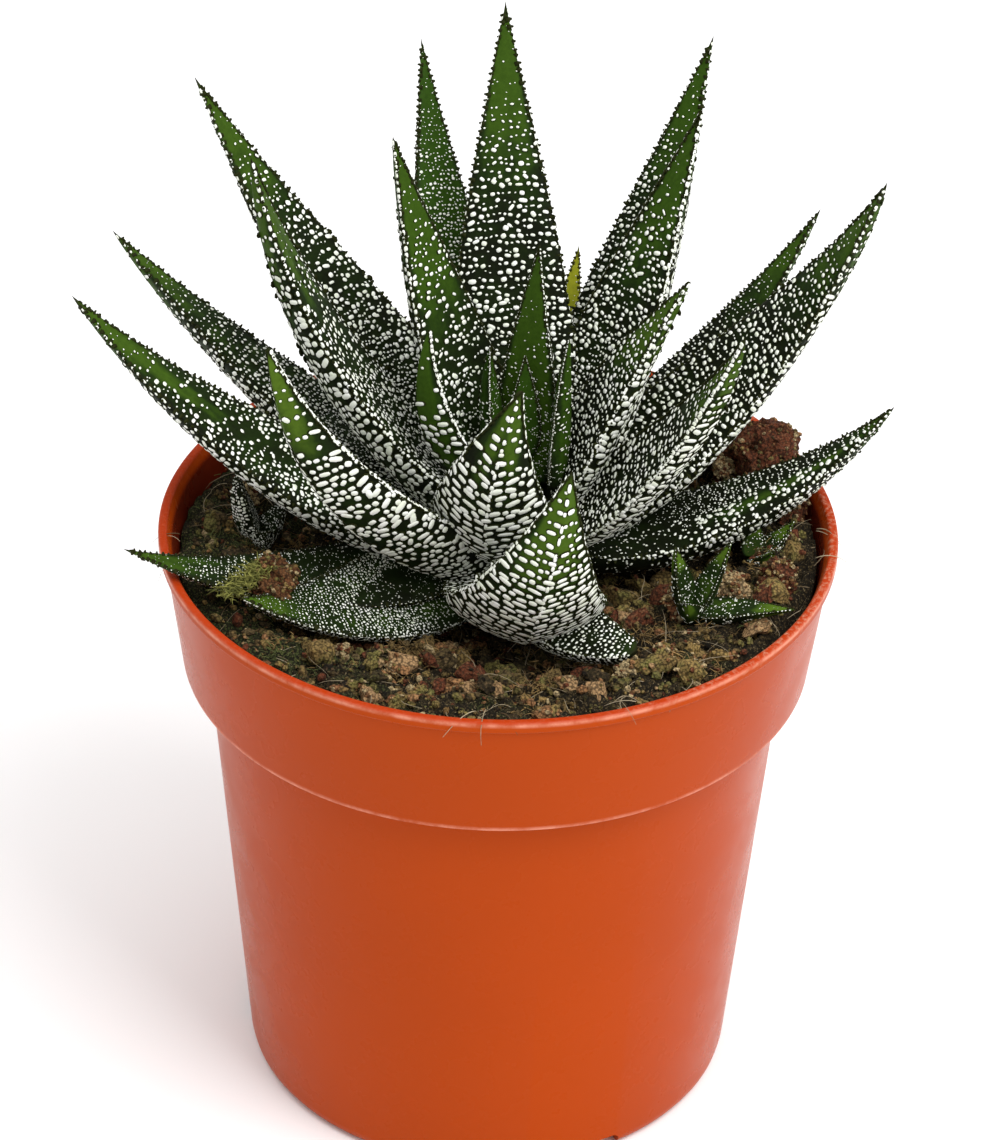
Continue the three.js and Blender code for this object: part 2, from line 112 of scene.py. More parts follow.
# How a leaf is marked, mostly from 0 to 1: the share of the length where it turns green, how fresh
# that green is, how unbroken its white margins are, how strong the white dashes of its keel, the size
# of its tubercles, how many of them are missing, how finely its middle is speckled, how bare and green
# its strips are, how far those strips lie from the middle, the share where the tubercles thin out, how
# green the skin between them is, the share where they begin, and the side (1 or -1) of the upper face
# where they are coarse.
Look = namedtuple(
    "Look", "green fresh line keel size bare speckle strip strip_at thin ground first side",
    defaults=(0.74, 0.2, 0.25, 0, 1, 0, 0.3, 0.1, 0.42, 0.66, 0, 0, 0))
LOOKS = {
    "leaf_bud_middle": Look(0.0, 0.0, line=1.0, size=0.5, bare=0.85),
    "leaf_bud_left": Look(0.0, 0.0, line=1.0, keel=0.5, size=0.6, bare=0.75),
    "leaf_young_right": Look(0.05, 0.1, line=1.0, size=0.5, bare=0.85),
    "leaf_young_middle": Look(0.0, 0.2, line=0.9, size=0.65, bare=0.7, strip=1.0),
    "leaf_young_left": Look(0.35, 0.2, line=1.0, size=1.2, bare=0.3, strip=1.0, strip_at=0.6),
    "leaf_front_inner": Look(
        0.8, 0.45, line=1.0, keel=1.0, size=1.28, speckle=0.1, strip=0.8, thin=0.78, ground=0.25),
    "leaf_inner_left": Look(0.5, 0.2, line=0.8, size=1.1, bare=0.3, strip=0.2, thin=0.72, ground=0.5),
    "leaf_inner_right": Look(0.6, 0.4, line=0.7, size=1.2, speckle=0.0, thin=0.75),
    "leaf_middle_left": Look(
        0.72, 0.35, line=0.6, size=1.14, bare=0.08, speckle=0.6, strip=0.5, thin=0.72, ground=0.6),
    "leaf_middle_right": Look(
        0.62, 0.15, line=1.0, size=1.1, speckle=0.8, strip=0.3, strip_at=0.2, thin=0.74, ground=0.3),
    "leaf_front_right": Look(
        0.7, 0.5, line=1.0, keel=0.1, size=1.35, speckle=0.4, thin=0.78, ground=0.2),
    "leaf_upper_left": Look(
        0.72, 0.25, line=0.3, size=1.1, bare=0.1, speckle=0.9, thin=0.76, ground=0.45),
    "leaf_back_right": Look(0.7, 0.1, size=1.0, thin=0.74, ground=0.4),
    "leaf_front_left": Look(
        0.72, 0.8, line=1.0, size=1.13, bare=0.1, speckle=0.9, strip=0.3, thin=0.72, ground=0.45),
    "leaf_front": Look(
        0.66, 0.55, line=1.0, keel=1.0, size=1.15, speckle=0.0, strip=0.2, thin=0.8, ground=0.25),
    "leaf_back_left": Look(0.5, 0.0, line=0.0, size=0.7, bare=0.1, speckle=0.6, thin=0.74, ground=0.4),
    "leaf_back_tall": Look(0.66, 0.2, line=0.0, size=1.08, bare=0.03, speckle=0.1, thin=0.7, ground=0.3),
    "leaf_low_left": Look(
        0.76, 0.3, line=0.1, size=1.05, speckle=0.8, strip=0.8, strip_at=0.1, thin=0.74, ground=0.6),
    "leaf_left": Look(0.78, 0.3, line=0.1, size=0.95, bare=0.05, speckle=0.8, thin=0.72, ground=0.8),
    "leaf_low_right": Look(
        0.86, 0.3, line=0.6, size=0.9, bare=0.12, speckle=1.0, thin=1.0, ground=0.25, first=0.48, side=1),
    "leaf_right": Look(0.72, 0.25, line=0.5, size=1.12, speckle=0.2, thin=0.76, ground=0.2),
    "leaf_drooping_left": Look(
        0.8, 0.3, line=0.0, size=0.56, bare=0.16, speckle=0.3, strip=0.2, thin=0.76, ground=0.5, first=0.66),
    "leaf_drooping_front_left": Look(
        0.78, 0.6, line=1.0, size=0.52, bare=0.06, speckle=0.9, strip=0.0, thin=0.72, ground=0.8, first=0.4),
    "leaf_drooping_front_right": Look(
        0.97, 0.9, line=1.0, keel=0.6, size=0.85, speckle=0.7, strip=0.0, thin=1.2, ground=0.2),
}
USUAL_LOOK = Look()
OFFSET_LOOKS = {
    "offset_front_right": Look(0.6, 0.8, line=0.3, size=0.62, bare=0.7, speckle=0.0, thin=0.62, ground=0.85),
    "offset_right": Look(0.5, 0.8, line=0.3, size=0.62, bare=0.6, speckle=0.0, thin=0.62, ground=0.85),
    "offset_left": Look(1.2, 0.2, line=0.3, size=0.66, bare=0.15, speckle=0.3, thin=1.0, ground=0.5),
}

# name, place of the root, and for each leaf: direction, rise, curl, length, width, thickness
OFFSETS = [
    ("offset_front_right", (0.034, -0.02, 0.1079), (
        (145, 70, 0, 0.012, 0.0055, 0.003), (35, 58, -6, 0.014, 0.005, 0.003),
        (-14, 14, -8, 0.0185, 0.007, 0.003), (-100, 44, -10, 0.008, 0.005, 0.003),
    )),
    ("offset_right", (0.045, -0.001, 0.1062), (
        (25, 30, 10, 0.01, 0.005, 0.003), (80, 50, 0, 0.007, 0.0045, 0.003),
        (-50, 30, 10, 0.007, 0.0045, 0.003),
    )),
    ("offset_left", (-0.042, 0.004, 0.1054), (
        (185, 68, 8, 0.014, 0.007, 0.0035), (40, 45, 0, 0.008, 0.005, 0.003),
        (-80, 35, 0, 0.007, 0.005, 0.003),
    )),
]

# Clods that stand out of the soil: x, y, height of the middle, radius, share of it that the clod is
# tall, tone from 0 to 1.
CLODS = [
    (0.0478, 0.0195, 0.115, 0.0062, 1.0, 0.68), (0.0432, 0.024, 0.1105, 0.0054, 0.9, 0.66),
    (0.0505, 0.0115, 0.1078, 0.0046, 0.9, 0.7), (-0.0391, -0.0187, 0.1112, 0.0043, 0.9, 0.65),
    (-0.0345, -0.0165, 0.1045, 0.0036, 0.8, 0.5), (0.0486, -0.0122, 0.108, 0.0035, 1.4, 0.72),
    (0.0408, -0.0133, 0.1068, 0.0034, 0.9, 0.9), (0.0323, -0.0172, 0.107, 0.0022, 1.5, 0.74),
    (0.0291, -0.0334, 0.1062, 0.0023, 1.3, 0.8), (0.0231, -0.0365, 0.1058, 0.0022, 1.0, 0.92),
    (-0.0447, 0.0112, 0.1096, 0.0021, 0.9, 0.95), (-0.0258, -0.0325, 0.105, 0.0014, 0.9, 0.9),
    (0.0397, 0.0188, 0.1122, 0.0015, 0.9, 0.95), (0.012, -0.046, 0.103, 0.004, 0.8, 0.4),
    (-0.014, -0.045, 0.103, 0.004, 0.8, 0.5), (-0.03, 0.038, 0.105, 0.0044, 0.8, 0.5),
]
SMALL_CLODS = 440           # places tried for small clods, not all of which get one
OFFSET_CLEARANCE = 0.006    # how far the small clods keep from an offset's root
TUFT_STRANDS = 40
STREWN_RADIUS = 0.0565      # what is strewn on the soil keeps a margin to this
STRAND_REACH = 0.0562       # no strand on the soil passes this radius, the wall's inside
# The tuft by the clod at the left: where it starts, its step from clump to clump, and how many.
CLOD_MOSS = Vector((-0.0408, -0.0197, 0.1142)), Vector((-0.0005, -0.0004, -0.00026)), 12
# Where fibres hang over the lip: bearing and spread in degrees, and how many.
RIM_FIBRES = ((189, 5, 4), (355, 14, 4), (268, 8, 3), (305, 14, 3))
RIM_FIBRE_HEIGHT = (0.1102, 0.1112)

# ---------------------------------------------------------------- camera, light and floor

CAMERA_TILT = math.radians(34.05)
CAMERA_ROLL = math.radians(1.37)
CAMERA_DISTANCE = 0.9
CAMERA_AIM = Vector((0.00046, 0.0, 0.10144))
CAMERA_LENS = 160.04
SENSOR_WIDTH = 36
LIT_PLACE = (0, 0, 0.1)
KEY_PLACE = (0.55, -0.45, 0.95)
KEY_SIDE = 0.7
TOP_PLACE = (-0.1, -0.1, 1.8)
TOP_AIM = (-0.1, -0.1, 0)
TOP_SIDE = 2.2
FLOOR_REACH = 6.0


# ---------------------------------------------------------------- settings

def colour_setting(name, description, default):
    return bpy.props.FloatVectorProperty(
        name=name, description=description, default=default, subtype="COLOR", size=3, min=0, max=1)


class PotSettings(bpy.types.PropertyGroup):
    """Sizes and colours of the nursery pot."""

    height: bpy.props.FloatProperty(
        name="Height", description="Height of the pot", default=0.111, unit="LENGTH")
    rim_radius: bpy.props.FloatProperty(
        name="Rim radius", description="Outer radius of the lip", default=0.06, unit="LENGTH")
    wall: bpy.props.FloatProperty(
        name="Wall", description="Thickness of the wall", default=0.0015, unit="LENGTH")
    band_height: bpy.props.FloatProperty(
        name="Band height", description="Depth of the band under the rim", default=0.0255, unit="LENGTH")
    colour: colour_setting("Plastic", "Colour of the plastic", (0.4, 0.049, 0.002))
    # painted shade: the top of the lip is coloured darker and redder than the wall
    lip: colour_setting("Lip", "Colour of the top of the lip", (0.37, 0.03, 0.004))
    # painted shade: the darker colour of the inner wall above the soil, under the lip
    inner_wall_shade: colour_setting("Damp", "Colour of the shadowed wall over the soil", (0.17, 0.018, 0.005))
    # painted highlight: the pale line along the lip's outer edge and the band's foot
    edge_highlight: colour_setting("Highlighted edges", "Colour of the pale line on the edges", (0.75, 0.3, 0.2))
    dust: colour_setting("Dust", "Colour of the dust and scuffs on the lip", (0.5, 0.24, 0.15))


class LeafSettings(bpy.types.PropertyGroup):
    """Relief and colours of the leaves."""

    # deep green also colours each tubercle's foot, a ring of painted shade
    deep: colour_setting("Deep green", "Skin between the crowded tubercles", (0.008, 0.01, 0.0045))
    shaded: colour_setting("Shaded green", "Skin where the tubercles thin out", (0.014, 0.029, 0.005))
    green: colour_setting("Green", "Skin towards the tip", (0.024, 0.058, 0.005))
    fresh: colour_setting("Fresh green", "Skin of the young leaves' tips", (0.08, 0.14, 0.013))
    tip: colour_setting("Dry tip", "The last dried millimetres of a leaf", (0.012, 0.009, 0.005))
    tubercle: colour_setting("Tubercles", "Colour of the raised dots", (0.87, 0.88, 0.83))
    relief: bpy.props.FloatProperty(
        name="Relief", description="How far a large tubercle stands out", default=0.00032, unit="LENGTH")
    crowding: bpy.props.FloatProperty(
        name="Crowding", description="How closely the tubercles stand", default=1.0, min=0.3, max=2.0)


class SoilSettings(bpy.types.PropertyGroup):
    """Level, crumbs and colours of the soil."""

    level: bpy.props.FloatProperty(
        name="Level", description="Height of the soil's surface", default=0.1035, unit="LENGTH")
    crumbs: bpy.props.IntProperty(
        name="Crumbs", description="How many loose crumbs lie on the soil", default=6500, min=0)
    grains: bpy.props.IntProperty(
        name="Grains", description="How many grains stick to the clods", default=3500, min=0)
    fibres: bpy.props.IntProperty(
        name="Fibres", description="How many root fibres lie on the soil", default=420, min=0)
    tufts: bpy.props.IntProperty(
        name="Tufts", description="Half as many as the places where moss may grow", default=90, min=0)
    # dark peat: the peat's own darkest tone, also painted shade in its hollows and between grains
    dark: colour_setting("Dark peat", "Colour of the wet_and_shaded hollows", (0.008, 0.006, 0.0035))
    brown: colour_setting("Brown peat", "Colour of most of the crumbs", (0.1, 0.07, 0.03))
    moss: colour_setting("Moss", "Colour of the thin film of moss", (0.055, 0.07, 0.02))


class StageSettings(bpy.types.PropertyGroup):
    """Light and floor of the studio."""

    key_power: bpy.props.FloatProperty(
        name="Key light", description="Power of the soft light at the side",
        default=10.0, min=0, unit="POWER")
    top_power: bpy.props.FloatProperty(
        name="Top light", description="Power of the wide light overhead",
        default=17.4, min=0, unit="POWER")
    surround: bpy.props.FloatProperty(
        name="Surround", description="Strength of the white surroundings", default=0.7, min=0)
    floor: colour_setting("Floor", "Colour of the floor", (0.95, 0.95, 0.95))


# ---------------------------------------------------------------- small helpers

def mix(low, high, share):
    """low at share 0, high at share 1."""
    return low + (high - low) * share


def ease(low, high, value):
    """0 below low, 1 above high, smooth between."""
    share = min(1.0, max(0.0, (value - low) / (high - low)))
    return share * share * (3 - 2 * share)


def lumps(place, size, salt=0.0):
    """Smooth noise from -1 to 1 with lumps about size metres across."""
    return noise.noise(place / size + Vector((salt, 3.7 * salt, -salt)))


def matrix_of(first, second, third, place):
    """The matrix with these three axes at a place."""
    matrix = Matrix((first, second, third)).transposed().to_4x4()
    matrix.translation = place
    return matrix


def finish_piece(shape, name, materials, slot, *nodes, flat=False):
    """Makes the shape an object that rides on the pot and stands for the given nodes."""
    mesh = bpy.data.meshes.new(name)
    shape.to_mesh(mesh)
    shape.free()
    for material in materials:
        mesh.materials.append(material)
    mesh.polygons.foreach_set("use_smooth", [not flat] * len(mesh.polygons))
    piece = bpy.data.objects.new(name, mesh)
    bpy.context.scene.collection.objects.link(piece)
    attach(piece, "root")
    if nodes:
        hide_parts(*nodes)
    return piece


def copies(form, placings, tones=None):
    """One copy of the form for each placing, a matrix or a function of the form's own place.

    The form is doubled until there are enough copies. The tones become a colour attribute.
    """
    number = form.verts.layers.int.new("number")
    made = 1
    while made < len(placings):
        everything = form.verts[:] + form.edges[:] + form.faces[:]
        doubled = bmesh.ops.duplicate(form, geom=everything)["geom"]
        for part in doubled:
            if isinstance(part, bmesh.types.BMVert):
                part[number] += made
        made *= 2
    spare = [vert for vert in form.verts if vert[number] >= len(placings)]
    bmesh.ops.delete(form, geom=spare, context="VERTS")
    tone = form.verts.layers.float_color.new("tone") if tones else None
    for vert in form.verts:
        placing = placings[vert[number]]
        vert.co = placing(vert.co) if callable(placing) else placing @ vert.co
        if tones:
            vert[tone] = (tones[vert[number]], 0, 0, 1)
    form.verts.layers.int.remove(form.verts.layers.int["number"])
    return form


def joined(main, extra):
    """Adds the second shape to the first."""
    carrier = bpy.data.meshes.new("carrier")
    extra.to_mesh(carrier)
    extra.free()
    main.from_mesh(carrier)
    bpy.data.meshes.remove(carrier)
    return main


# ---------------------------------------------------------------- materials

class Recipe:
    """A node material that is being written: adds nodes and links them in one call."""

    def __init__(self, name, roughness=0.5, specular=0.5):
        self.material = bpy.data.materials.new(name)
        self.material.use_nodes = True
        self.tree = self.material.node_tree
        self.skin = self.tree.nodes["Principled BSDF"]
        self.skin.inputs["Roughness"].default_value = roughness
        self.skin.inputs["Specular IOR Level"].default_value = specular
        self.coordinates = self.tree.nodes.new("ShaderNodeTexCoord").outputs["Object"]

    def link(self, source, socket):
        self.tree.links.new(source, socket)

    def node(self, kind, inputs=None, **settings):
        made = self.tree.nodes.new(kind)
        for key, value in settings.items():
            setattr(made, key, value)
        for key, value in (inputs or {}).items():
            if isinstance(value, bpy.types.NodeSocket):
                self.link(value, made.inputs[key])
            else:
                made.inputs[key].default_value = value
        return made

    def cloud(self, scale, detail=4.0, roughness=0.6):
        """Noise with the given number of lumps to a metre."""
        inputs = {"Vector": self.coordinates, "Scale": scale, "Detail": detail, "Roughness": roughness}
        return self.node("ShaderNodeTexNoise", inputs).outputs["Fac"]

    def grains(self, scale):
        """Distance to the middle of the nearest of many packed grains, scale grains to a metre."""
        inputs = {"Vector": self.coordinates, "Scale": scale}
        return self.node("ShaderNodeTexVoronoi", inputs).outputs["Distance"]

    def patches(self, scale, detail, low, high, start=0.0, end=1.0, roughness=0.6):
        """A cloud stretched from low..high to start..end."""
        return self.spread(self.cloud(scale, detail, roughness), low, high, start, end)

    def spread(self, value, low, high, start=0.0, end=1.0):
        """Stretches low..high to start..end and stops there."""
        inputs = {"Value": value, "From Min": low, "From Max": high, "To Min": start, "To Max": end}
        return self.node("ShaderNodeMapRange", inputs).outputs["Result"]

    def product(self, first, *others):
        """Each a socket or a number."""
        for other in others:
            first = self.math(first, other, "MULTIPLY")
        return first

    def math(self, first, second, operation="ADD"):
        return self.node("ShaderNodeMath", {0: first, 1: second}, operation=operation).outputs[0]

    def blend(self, amount, first, second, mode="MIX"):
        """Mixes two colours, each a socket or three numbers."""
        made = self.node("ShaderNodeMix", data_type="RGBA", blend_type=mode)
        for socket, value in ((made.inputs[0], amount), (made.inputs[6], first), (made.inputs[7], second)):
            if isinstance(value, bpy.types.NodeSocket):
                self.link(value, socket)
            elif isinstance(value, (int, float)):
                socket.default_value = value
            else:
                socket.default_value = (*value, 1.0)
        return made.outputs[2]

    def channels(self, attribute):
        """Red, green and blue of the piece's own colour attribute."""
        source = self.node("ShaderNodeAttribute", attribute_name=attribute)
        return self.node("ShaderNodeSeparateColor", {"Color": source.outputs["Color"]}).outputs

    def bump(self, height, distance):
        """Fine relief of the skin, distance metres high."""
        inputs = {"Height": height, "Distance": distance, "Strength": 1.0}
        self.link(self.node("ShaderNodeBump", inputs).outputs["Normal"], self.skin.inputs["Normal"])

    def colour(self, socket):
        self.link(socket, self.skin.inputs["Base Color"])

    def roughness(self, socket):
        self.link(socket, self.skin.inputs["Roughness"])


def pot_plastic(pot):
    """Satin moulded plastic: painted shade making the top of the lip redder and the inner wall darker,
    painted highlight lines on the edges, dust on the lip.
    """
    recipe = Recipe("terracotta_plastic", specular=0.05)
    spread, product, blend = recipe.spread, recipe.product, recipe.blend
    rim, rim_radius, band_foot = pot.height, pot.rim_radius, pot.height - pot.band_height
    axes = recipe.node("ShaderNodeSeparateXYZ", {"Vector": recipe.coordinates}).outputs
    flat = recipe.node("ShaderNodeVectorMath", {0: recipe.coordinates, 1: (1, 1, 0)}, operation="MULTIPLY")
    radius = recipe.node("ShaderNodeVectorMath", {0: flat.outputs[0]}, operation="LENGTH").outputs["Value"]
    rise = axes["Z"]
    base = blend(recipe.patches(14, 2, 0.3, 0.7), [0.95 * c for c in pot.colour],
                 [min(1, 1.04 * c) for c in pot.colour])
    # painted shade: the top of the lip darker and redder
    painted_lip_shade = spread(rise, rim - 0.0007, rim - 0.0001)
    base = blend(product(painted_lip_shade, 0.8), base, tuple(pot.lip))
    # painted shade on the inner wall inside the band, under the lip
    outside = spread(rise, band_foot, rim - LIP_HEIGHT, BAND_FOOT_RADIUS, rim_radius - LIP_STEP)
    inside = spread(recipe.math(outside, radius, "SUBTRACT"), 0.0005, 0.0011)
    over_step = spread(rise, band_foot + 0.003, band_foot + 0.004)
    under_lip = spread(rise, rim - 0.0014, rim - 0.0024)
    base = blend(product(inside, product(over_step, under_lip)), base, tuple(pot.inner_wall_shade))
    # painted highlight: pale lines along the lip's outer edge and the band's foot, broken up by noise
    at_edge = spread(radius, rim_radius - 0.0006, rim_radius - 0.0002)
    lip_edge = product(spread(rise, rim - 0.0011, rim - 0.0006), at_edge, spread(rise, rim, rim - 0.0004))
    ridge = product(
        spread(rise, band_foot - 0.0008, band_foot),
        spread(rise, band_foot + 0.0011, band_foot + 0.0004),
        spread(radius, BAND_FOOT_RADIUS - 0.0007, BAND_FOOT_RADIUS - 0.0002))
    highlight_breakup = recipe.patches(160, 5, 0.36, 0.62, 0.1, 0.75, roughness=0.7)
    base = blend(product(recipe.math(lip_edge, ridge, "MAXIMUM"), highlight_breakup), base, tuple(pot.edge_highlight))
    # dust on the lip, most of it at the right
    dusty = spread(rise, rim - 0.0016, rim - 0.0002)
    to_right = spread(axes["X"], 0.015, 0.052, 0.12, 1.0)
    scuffs = recipe.patches(1100, 5, 0.48, 0.66, 0, 0.8, roughness=0.75)
    recipe.colour(blend(product(dusty, to_right, scuffs), base, tuple(pot.dust)))
    recipe.roughness(recipe.patches(90, 4, 0.35, 0.7, 0.24, 0.34))
    recipe.bump(recipe.cloud(260, 3), 0.00003)
    return recipe.material


def leaf_skin(leaf, name="leaf_skin", yellowing=False):
    """Satin leaf skin: nearly black where the tubercles crowd, green towards the tip."""
    recipe = Recipe(name, roughness=0.5, specular=0.03)
    growth = recipe.channels("growth")
    share, fresh, green = growth[0], growth[1], growth[2]
    mottle = recipe.patches(220, 3, 0.3, 0.7, -0.16, 0.16)
    greening = recipe.spread(recipe.math(green, mottle), 0.1, 0.9)
    tip_green = recipe.blend(fresh, tuple(leaf.green), tuple(leaf.fresh))
    half_green = recipe.blend(recipe.spread(greening, 0.0, 0.55), tuple(leaf.deep), tuple(leaf.shaded))
    colour = recipe.blend(recipe.spread(greening, 0.45, 1.0), half_green, tip_green)
    if yellowing:
        yellow = recipe.blend(recipe.spread(share, 0.1, 0.9), (0.12, 0.16, 0.02), (0.36, 0.36, 0.02))
        colour = recipe.blend(0.85, colour, yellow)
    fine = recipe.patches(1100, 3, 0.35, 0.7, 0, 0.5)
    colour = recipe.blend(fine, colour, (0.55, 0.6, 0.6), "MULTIPLY")
    dried = recipe.spread(share, 0.955, 0.99, 0, 0.9)
    recipe.colour(recipe.blend(dried, colour, tuple(leaf.tip)))
    recipe.roughness(recipe.patches(700, 2, 0.3, 0.7, 0.42, 0.58))
    recipe.bump(recipe.cloud(1500, 3), 0.00005)
    return recipe.material


def tubercle_white(leaf):
    """Chalky white, a little greener and greyer in places."""
    recipe = Recipe("tubercle_white", roughness=0.5, specular=0.3)
    tinge = recipe.patches(500, 2, 0.35, 0.7)
    shade = [0.82 * leaf.tubercle[0], 0.86 * leaf.tubercle[1], 0.74 * leaf.tubercle[2]]
    recipe.colour(recipe.blend(tinge, tuple(leaf.tubercle), shade))
    return recipe.material


def peat(soil):
    """Damp peat: dark peat in the hollows, partly its own tone and partly painted shade, painted shade
    between grains, brown grains, a green tinge in places, pale specks.
    """
    recipe = Recipe("peat", roughness=0.92, specular=0.15)
    grain = recipe.cloud(900, 6, 0.75)
    # partly painted shade: the low parts of the bump take the dark peat, partly the peat's own dark tone
    base = recipe.blend(recipe.spread(grain, 0.4, 0.62), tuple(soil.dark), tuple(soil.brown))
    side = recipe.node("ShaderNodeSeparateXYZ", {"Vector": recipe.coordinates}).outputs["X"]
    to_left = recipe.spread(side, -0.015, -0.045, -0.06, 0.12)
    moss = recipe.spread(recipe.math(recipe.cloud(75, 4), to_left), 0.48, 0.6, 0, 0.85)
    base = recipe.blend(moss, base, tuple(soil.moss))
    # painted shade in the gaps between grains
    gaps = recipe.spread(recipe.grains(2400), 0.28, 0.56, 0, 0.9)
    base = recipe.blend(gaps, base, tuple(soil.dark))
    flecks = recipe.patches(2300, 2, 0.62, 0.7, 0, 0.8)
    recipe.colour(recipe.blend(flecks, base, (0.3, 0.23, 0.12)))
    recipe.bump(grain, 0.0009)
    return recipe.material


def crumb_peat(soil):
    """Crumbs and clods, each of its own tone, from black through red brown to straw."""
    recipe = Recipe("peat_crumbs", roughness=0.9, specular=0.15)
    tone = recipe.channels("tone")[0]
    grain = recipe.cloud(1600, 4, 0.7)
    warm = recipe.blend(recipe.spread(tone, 0.3, 0.55), tuple(soil.brown), (0.27, 0.18, 0.06))
    olive = recipe.patches(130, 3, 0.5, 0.62, 0, 0.7)
    warm = recipe.blend(olive, warm, (0.17, 0.17, 0.045))
    red_brown = recipe.blend(recipe.spread(tone, 0.6, 0.66), warm, (0.13, 0.038, 0.017))
    red_brown = recipe.blend(recipe.spread(tone, 0.72, 0.8), red_brown, (0.34, 0.17, 0.07))
    base = recipe.blend(recipe.spread(tone, 0.0, 0.3), tuple(soil.dark), red_brown)
    base = recipe.blend(recipe.spread(tone, 0.86, 0.92), base, (0.5, 0.38, 0.2))
    # partly painted highlight: the raised parts of the bump lighter, partly pale grains
    base = recipe.blend(recipe.spread(grain, 0.52, 0.7, 0, 0.4), base, (0.36, 0.22, 0.11))
    # painted shade in the gaps between grains
    gaps = recipe.spread(recipe.grains(2200), 0.36, 0.7, 0, 0.75)
    recipe.colour(recipe.blend(gaps, base, tuple(soil.dark)))
    recipe.bump(grain, 0.0006)
    return recipe.material


def strand_skin(name, dark, pale):
    """Fibres and moss, each strand between the two colours by its own tone."""
    recipe = Recipe(name, roughness=0.75, specular=0.2)
    tone = recipe.channels("tone")[0]
    mottle = recipe.patches(900, 3, 0.3, 0.7, -0.2, 0.2)
    recipe.colour(recipe.blend(recipe.spread(recipe.math(tone, mottle), 0.0, 1.0), dark, pale))
    return recipe.material


def stem_bark():
    """Dry brown skin, mottled."""
    recipe = Recipe("stem_skin", roughness=0.8, specular=0.25)
    recipe.colour(recipe.blend(recipe.patches(250, 3, 0.35, 0.65), (0.1, 0.08, 0.03), (0.24, 0.2, 0.09)))
    recipe.bump(recipe.cloud(1000, 2), 0.0001)
    return recipe.material


# ---------------------------------------------------------------- leaves

class Blade:
    """One leaf: its midrib, and its section at every share of the length."""

    def __init__(self, base, turn, swing, rise, curl, length, width, thickness,
                 roll=0.0, lean=0.0, point=LEAF_POINT):
        self.turn, self.swing, self.rise, self.curl = map(math.radians, (turn, swing, rise, curl))
        self.length, self.width, self.thickness = length, width, thickness
        self.roll, self.lean, self.point = math.radians(roll), math.radians(lean), point
        place = Vector(base)
        self.frames = [self.frame_at(place, 0.0)]
        for step in range(SPINE_STEPS):
            place = place + self.bearings((step + 0.5) / SPINE_STEPS)[1] * (length / SPINE_STEPS)
            self.frames.append(self.frame_at(place, (step + 1) / SPINE_STEPS))

    def bearings(self, share):
        """The level direction across the leaf and the direction in which it grows."""
        turn = self.turn + self.swing * share
        rise = self.rise + self.curl * share
        outward = Vector((math.cos(turn), math.sin(turn), 0))
        level = Vector((-math.sin(turn), math.cos(turn), 0))
        upward = Vector((0, 0, 1))
        across = level * math.cos(self.lean) - upward * math.sin(self.lean)
        upright = upward * math.cos(self.lean) + level * math.sin(self.lean)
        return across, outward * math.cos(rise) + upright * math.sin(rise)

    def frame_at(self, place, share):
        """A place of the midrib with the directions across the leaf and up, after its roll."""
        across, along = self.bearings(share)
        across = across * math.cos(self.roll) + along.cross(across) * math.sin(self.roll)
        return place, across, along.cross(across)

    def frame(self, share):
        """The same at any share of the length."""
        reach = min(1.0, max(0.0, share)) * SPINE_STEPS
        step = min(SPINE_STEPS - 1, int(reach))
        low, high = self.frames[step], self.frames[step + 1]
        return [a.lerp(b, reach - step) for a, b in zip(low, high)]

    def half_width(self, share):
        """Narrow at the tip and at the stem, widest between them."""
        from_tip = 1 - share
        taper = math.sin(math.pi / 2 * min(1.0, max(0.0, from_tip) / FULL_WIDTH)) ** self.point
        waist = max(0.0, (from_tip - 1 + WAIST_SHARE) / WAIST_SHARE)
        return self.width / 2 * taper * (1 - LEAF_WAIST * waist * waist)

    def depth(self, share):
        """How far the keel lies under the midrib."""
        grown = math.sin(math.pi / 2 * min(1.0, max(0.0, 1 - share) / FULL_DEPTH))
        return self.thickness * grown ** (0.77 * self.point)

    def section(self, share, angle):
        """A channelled face above, a rounded underside that is keeled to the tip."""
        side, lift = math.cos(angle), math.sin(angle)
        half = self.half_width(share)
        if lift >= 0:
            hollowness = math.sin(math.pi * min(1.0, 0.2 + 1.2 * share))
            return half * side, half * CHANNEL * (lift - (1 - side * side) ** 1.5 * hollowness)
        keel = mix(KEEL_AT_BASE, KEEL_AT_TIP, share)
        return half * side, self.depth(share) * ((1 - keel) * lift - keel * (1 - abs(side)))

    def surface(self, share, angle, proud=0.0):
        """A point of the skin, or one that stands proud of it."""
        place, across, up = self.frame(share)
        side, lift = self.section(share, angle)
        return (place + across * (side + proud * math.cos(angle))
                + up * (lift + proud * math.sin(angle)))

    def seat(self, share, angle):
        """Place, direction across, direction along and outward normal of a point of the skin."""
        nudge, turn = 0.004, 0.05
        place = self.surface(share, angle)
        along = self.surface(min(1, share + nudge), angle) - self.surface(share - nudge, angle)
        across = self.surface(share, angle + turn) - self.surface(share, angle - turn)
        along.normalize()
        across.normalize()
        normal = across.cross(along).normalized()
        _, right, up = self.frame(share)
        if normal.dot(right * math.cos(angle) + up * math.sin(angle)) < 0:
            normal = -normal
        return place, across, along, normal


UPPER, LOWER = 1, -1
ARC_PARTS = 24
